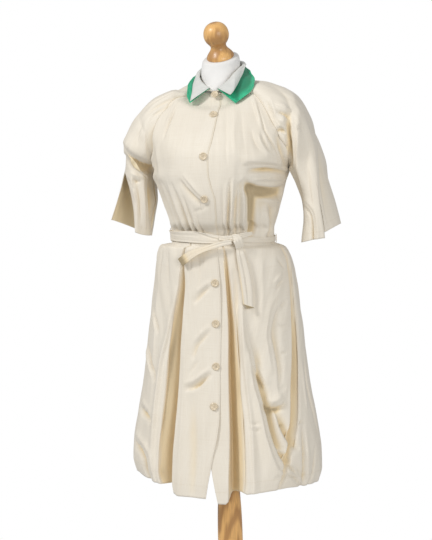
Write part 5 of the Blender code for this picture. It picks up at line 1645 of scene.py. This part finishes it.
def belt_panel():
    """The belt's grid with its creases, its map and the painted shade of its creases."""
    angle = np.linspace(-180, 180, 400, endpoint=False)
    z, height = (smooth(BELT_BAND["angle"], BELT_BAND[k], angle) for k in ("z", "height"))
    fan = np.exp(-((angle - FAN_ANGLE) / FAN_REACH) ** 2)
    across = np.linspace(-0.5, 0.5, 21)[:, None]
    level = z + FAN_RISE * fan + (height + FAN_HEIGHT * fan) * across
    x, y = belt_ellipse(angle, 0.003 * ramp(1.072, 1.083, level))
    waves = np.zeros(level.shape)
    for rise, *knots in BELT_CREASES:
        line = smooth(knots[::2], knots[1::2], angle)
        span = ramp(knots[0], knots[0] + 10, angle) * ramp(knots[-2], knots[-2] - 10, angle)
        waves += rise / 1000 * span * creased(across - line, 0.075)
    grid = raised(np.stack([x, y, level], -1), 1, waves)
    return grid, metres_on(grid), painted_shade_of(waves * 2), 1


def tail_panel(tail):
    """A flat folded belt tail with a few crisp creases. The long one's tip is turned under at a corner."""
    grid = tail_grid(tail, 90, 19)
    s, t = np.linspace(-0.5, 0.5, 19)[None], np.linspace(0, 1, 90)[:, None]
    body = np.sin(math.pi * np.clip(t, 0.04, 0.9)) ** 0.5
    if tail == "long":
        height = (0.0012 * creased(s - 0.20 + 0.12 * t, 0.08) - 0.0016 * creased(s + 0.02 - 0.06 * t, 0.07)
                  + 0.0008 * creased(s + 0.34, 0.08)) * body
        corner = ramp(0.0, 0.03, t - 0.86 - 0.11 * (0.5 - s))
        grid = grid + np.array([0.004, 0.002, 0.0]) * corner[..., None]
        # painted shade along the long tail's right edge and on its turned-under corner
        shade = 0.7 * ramp(0.30, 0.46, s) * ramp(0.1, 0.6, t) + 2.0 * corner
    else:
        height = (0.0010 * creased(s + 0.24, 0.10) - 0.0014 * creased(s - 0.10 + 0.2 * t, 0.08)) * body
        # painted shade, growing towards the short tail's end and darkest at it
        shade = 0.35 * ramp(0.05, 0.5, t) + 1.7 * ramp(0.74, 0.94, t)
    grid = raised(grid, 1, height)
    return grid, metres_on(grid), painted_shade_of(height * 1.5) + shade, 1


KNOT_FACING = 30.0  # the way the knot faces, in degrees from centre front
# The knot's three strands, each a flat band of cloth.
KNOT_STRANDS = {
    "under": table("x y z width thickness", """
        18 -113 1065.5 9 2.5, 32 -112.5 1066 13 4.2, 46 -109.5 1065 15 5.2, 58 -105.5 1063.5 12 5"""),
    "ear": table("x y z width thickness", """
        56 -106.5 1067 9 4, 68 -107.5 1070.5 13 4.4, 80 -102.5 1073 13 3.6, 90 -95.5 1075 10 3,
        97 -90 1076.5 7.5 2.4"""),
    "over": table("x y z width thickness", """
        45 -103 1067 7 4, 52 -110.5 1069 12 5.4, 60 -115 1068 18 6, 66 -115.5 1061.5 24 5.4,
        68.5 -112.5 1051 22 4.6, 68.5 -108.5 1041.8 18.6 4"""),
}


def strand_rings(strand, count=48, steps=40):
    """Rings of a flat strand with rounded edges and two creases along it."""
    *centre, width, thickness = drawn_out(strand, "x y z width thickness", steps)
    centre = np.stack(centre, -1)
    along = np.gradient(centre, axis=0)
    angle = circle(count)
    face = outward_at(KNOT_FACING)
    u = np.sign(np.cos(angle)) * abs(np.cos(angle)) ** 0.8 / 2
    rings = []
    for i, (c, w, t) in enumerate(zip(centre, width, thickness)):
        side = unit(np.cross(along[i], face))
        drift = 0.1 * i / (steps - 1)
        crease = 0.42 * creased(u - 0.12 - drift, 0.06) + 0.34 * creased(u + 0.22 - drift, 0.06)
        v = np.sign(np.sin(angle)) * abs(np.sin(angle)) ** 0.6 / 2 - crease * (np.sin(angle) > 0)
        rings.append(c + w * u[:, None] * side + t * v[:, None] * face)
    return rings


def mapped(obj):
    """A small closed piece with a map in metres, round it and up it."""
    mesh = obj.data
    points = np.array([v.co for v in mesh.vertices])
    corners = [loop.vertex_index for loop in mesh.loops]
    uv = np.stack([points[corners, 0] + points[corners, 1], points[corners, 2]], -1)
    mesh.uv_layers.new(name="cloth").data.foreach_set("uv", uv.ravel())
    mesh.attributes.new("fold", "FLOAT", "POINT")
    return obj


def loop_rings(angle, z, height):
    """A thread loop over the belt: two strands wound round each other."""
    outward = outward_at(angle)
    sideways = np.array([outward[1], -outward[0], 0])
    rings = []
    for i, (share, out) in enumerate(zip(*drawn_out(LOOP_PATH, "share out", 60))):
        centre = np.array([*belt_ellipse(angle, out), z + share * height])
        ring = []
        for c in circle(12):
            r = 0.0008 * (1 + 0.25 * math.cos(2 * c - 0.9 * i))
            ring.append(centre + sideways * 1.5 * r * math.cos(c) + outward * (0.0002 + r * math.sin(c)))
        rings.append(ring)
    return rings


class DRESS_OT_buttons(bpy.types.Operator):
    """Sews the row of buttons down the right front, with their thread"""
    bl_idname = "dress.buttons"
    bl_label = "Buttons"

    def execute(self, context):
        spots = bpy.data.meshes.new("button_spots")
        places, facings, uprights = [], [], []
        for x, z in zip(BUTTONS["x"], BUTTONS["z"]):
            up = (front_surface(x, z + 0.002) - front_surface(x, z - 0.012)).normalized()
            right = (front_surface(x + 0.008, z) - front_surface(x - 0.008, z)).normalized()
            out = right.cross(up)
            places.append(front_surface(x, z) + out * SHANK)
            facings.append(out)
            uprights.append(up)
        spots.from_pydata(places, [], [])
        for label, values in (("facing", facings), ("upright", uprights)):
            layer = spots.attributes.new(label, "FLOAT_VECTOR", "POINT")
            layer.data.foreach_set("vector", np.array(values).ravel())
        tree = button_row_tree()
        numbered = [f"button_{number + 1}" for number in range(len(places))]
        for name, solids, look, nodes in (("button_row", button_rings(), "horn", numbered),
                                          ("button_thread", thread_rings(), "cream_thread", [])):
            master = placed(f"{name}_one", lofted(f"{name}_one", *solids))
            values = {"Button": master, "Size": context.scene.dress_sizes.button_scale}
            worn(grown(name, spots.copy(), tree, values, look), nodes, "button_horn")
            bpy.data.objects.remove(master)
        return {"FINISHED"}


# A button from the middle of its face over the rim to the middle of its back, and its four eyes.
BUTTON = table("radius height", """
    0 1.8, 0.8 1.8, 1.5 1.8, 2.1 1.8, 2.7 1.8, 3.3 1.8, 3.9 1.8, 4.8 1.9, 5.6 2.1, 6.2 2.5, 6.8 3, 7.6 3.3,
    8.4 3.2, 9 2.8, 9.4 2.2, 9.5 1.6, 9.5 0.9, 9.1 0.2, 8 0, 4.5 0, 0 0""")
EYE_AT, EYE_RADIUS, FACE_RINGS = 0.0017, 0.0011, 9


def button_rings():
    """A flat horn button: a rounded rim, a dished middle and four eyes."""
    rings = []
    last = len(BUTTON["radius"]) - 1
    for i, (radius, height) in enumerate(zip(BUTTON["radius"], BUTTON["height"])):
        ring = []
        for x, y, z in round_ring(radius, height, 40 if 0 < i < last else 1):
            eye = math.hypot(abs(x) - EYE_AT, abs(y) - EYE_AT)
            deep = EYE_RADIUS * max(0.0, 1 - (eye / EYE_RADIUS) ** 2) ** 0.5 if 0 < i < FACE_RINGS else 0.0
            ring.append((x, y, z - deep))
        rings.append(ring)
    return [rings]


def thread_rings():
    """Two bars of thread through the eyes, and the shank behind."""
    bars = []
    for side in (-1, 1):
        rings = []
        for t in np.linspace(0, 1, 9):
            x, z = EYE_AT * (2 * t - 1), 0.0010 + 0.0013 * math.sin(math.pi * t) ** 0.5
            rings.append([(x, side * EYE_AT + 0.0005 * math.cos(a), z + 0.0004 * math.sin(a))
                          for a in circle(8)])
        bars.append(rings)
    return [*bars, [round_ring(0.0016, z, 12) for z in (-0.0012, 0.0004)]]


class DRESS_OT_stitches(bpy.types.Operator):
    """Sews the skirt's hem, the cuffs, the front edge and the collar's leaves"""
    bl_idname = "dress.stitches"
    bl_label = "Stitches"

    def execute(self, context):
        lines = []
        for name in SKIRT_PANELS:
            grid, _, _, outward = skirt_panel(name)
            lines.append(line_inside(grid, "bottom", HEM_STITCH, outward))
            if name == "right_front":
                lines.append(line_inside(grid, "first", EDGE_STITCH, outward))
        grid, _, _, outward = front_panel("right")
        lines.append(line_inside(grid, "first", EDGE_STITCH, outward))
        for side in SIGN:
            (back, _, _, outward), (_, step, front) = sleeve_panel(side)
            for flap in (front[:, :step], back[:, step:]):
                lines.append(line_inside(flap, "bottom", CUFF_STITCH, outward))
        stitched("cream_stitches", lines, "cream_thread", "dress_cotton")
        for leaf, slot in (("white", "collar_cotton"), ("green", "collar_satin")):
            grid = leaf_panel(leaf)[0]
            lines = [line_inside(grid, edge, LEAF_STITCH, -1) for edge in ("first", "bottom", "last")]
            stitched(f"{leaf}_stitches", lines, f"{leaf}_thread", slot, pitch=0.0026, length=0.0019)
        return {"FINISHED"}


class DRESS_OT_form(bpy.types.Operator):
    """Builds the dress form, its finial, and the turned post and base"""
    bl_idname = "dress.form"
    bl_label = "Dress form and stand"

    def execute(self, context):
        for name, rows, count in (("form_torso", TORSO, 90), ("form_neck", FORM_NECK, 50)):
            rings = [ellipse_ring(*ring) for ring in zip(*drawn_out(rows, " ".join(rows), count))]
            cover = placed(f"{name}_cover", lofted(f"{name}_cover", rings), finish("jersey"))
            worn(cover, [name], "form_cover")
        plate = Vector((0, FORM_NECK["centre_y"][-1], FORM_NECK["z"][-1]))
        lean = (Matrix.Translation(plate) @ Matrix.Rotation(math.radians(PLATE_TILT), 4, "X")
                @ Matrix.Rotation(math.radians(-FINIAL_LEAN), 4, "Y"))
        for name, *turned in (("finial", FINIAL, 72, lean), ("post", POST, 56), ("base", BASE, 96)):
            mesh = turned_mesh(f"turned_{name}", *turned)
            worn(placed(f"turned_{name}", mesh, finish("wood")), [name], "stand_wood")
        return {"FINISHED"}


def ellipse_ring(z, half_width, front, back, y, tilt=0.0, lean=0.0):
    """A ring of the form, tilted forward and leaning to the right by these degrees."""
    wide, deep = oval(np.degrees(circle(72)), half_width, front, back)
    tilt, lean = math.radians(tilt), math.radians(lean)
    return np.stack([wide * math.cos(lean), y + deep * math.cos(tilt),
                     z + deep * math.sin(tilt) + wide * math.sin(lean)], -1)


def aimed(name, data, place, target, roll=0.0):
    """A light or camera at a place, turned to a target and rolled."""
    obj = bpy.data.objects.new(name, data)
    obj.location = place
    obj.rotation_mode = "QUATERNION"
    aim = (Vector(target) - Vector(place)).to_track_quat("-Z", "Y")
    obj.rotation_quaternion = aim @ Quaternion((0, 0, 1), math.radians(roll))
    bpy.context.scene.collection.objects.link(obj)
    return obj


class DRESS_OT_stage(bpy.types.Operator):
    """Sets the pale floor, the white surroundings, two soft lights and the camera"""
    bl_idname = "dress.stage"
    bl_label = "Stage"

    def execute(self, context):
        stage = context.scene.dress_stage
        bm = bmesh.new()
        bmesh.ops.create_circle(bm, cap_ends=True, segments=128, radius=stage.floor_radius)
        mesh = bpy.data.meshes.new("floor")
        bm.to_mesh(mesh)
        bm.free()
        material, shader, _ = shading("pale_floor", 0.7)
        shader.inputs["Base Color"].default_value = (0.86, 0.86, 0.86, 1)
        placed("floor", mesh, material)
        world = bpy.data.worlds.new("white_room")
        context.scene.world = world
        world.use_nodes = True
        ground = world.node_tree.nodes["Background"]
        ground.inputs["Color"].default_value = (1, 1, 1, 1)
        seen = node(world.node_tree, "ShaderNodeLightPath").outputs["Is Camera Ray"]
        world.node_tree.links.new(banded(seen, 0, 1, stage.room, 1.0), ground.inputs["Strength"])
        for name, place, size, watts in (("key", (-2.9, -2.9, 4.4), 1.1, stage.key),
                                         ("fill", (2.1, -2.8, 1.6), 1.5, stage.fill)):
            lamp = bpy.data.lights.new(name, "AREA")
            lamp.energy, lamp.size = watts, size
            aimed(name, lamp, place, (0, 0, 1.0))
        lens = bpy.data.cameras.new("camera")
        lens.sensor_width, lens.lens = 36, 101.6667
        across, away = math.cos(stage.azimuth), math.sin(stage.azimuth)
        aside = -0.0175 * Vector((across, away, 0))
        place = Vector((stage.distance * away, -stage.distance * across, stage.height)) + aside
        context.scene.camera = aimed("camera", lens, place, Vector((0, 0, 0.98)) + aside, roll=-1.6)
        context.scene.view_settings.view_transform = "Standard"
        return {"FINISHED"}


STEPS = (DRESS_OT_bodice, DRESS_OT_sleeves, DRESS_OT_skirt, DRESS_OT_collar, DRESS_OT_belt, DRESS_OT_buttons,
         DRESS_OT_stitches, DRESS_OT_form, DRESS_OT_stage)
GROUPS = {"dress_sizes": DressSizes, "dress_colours": DressColours, "dress_stage": DressStage}


class DRESS_PT_build(bpy.types.Panel):
    """Lists the pieces of the dress with their sizes and colours"""
    bl_idname = "DRESS_PT_build"
    bl_label = "Shirt dress"
    bl_space_type = "VIEW_3D"
    bl_region_type = "UI"
    bl_category = "Dress"

    def draw(self, context):
        for step in STEPS:
            self.layout.operator(step.bl_idname)
        for name in GROUPS:
            box, group = self.layout.box(), getattr(context.scene, name)
            for key in group.__annotations__:
                box.prop(group, key)


def register():
    for made in (*GROUPS.values(), *STEPS, DRESS_PT_build):
        bpy.utils.register_class(made)
    for key, group in GROUPS.items():
        setattr(bpy.types.Scene, key, PointerProperty(type=group))


def unregister():
    for key in GROUPS:
        delattr(bpy.types.Scene, key)
    for made in reversed((*GROUPS.values(), *STEPS, DRESS_PT_build)):
        bpy.utils.unregister_class(made)


def main():
    register()
    bpy.ops.dress.bodice()
    bpy.ops.dress.sleeves()
    bpy.ops.dress.skirt()
    bpy.ops.dress.collar()
    bpy.ops.dress.belt()
    bpy.ops.dress.buttons()
    bpy.ops.dress.stitches()
    bpy.ops.dress.form()
    bpy.ops.dress.stage()


if __name__ == "__main__":
    main()
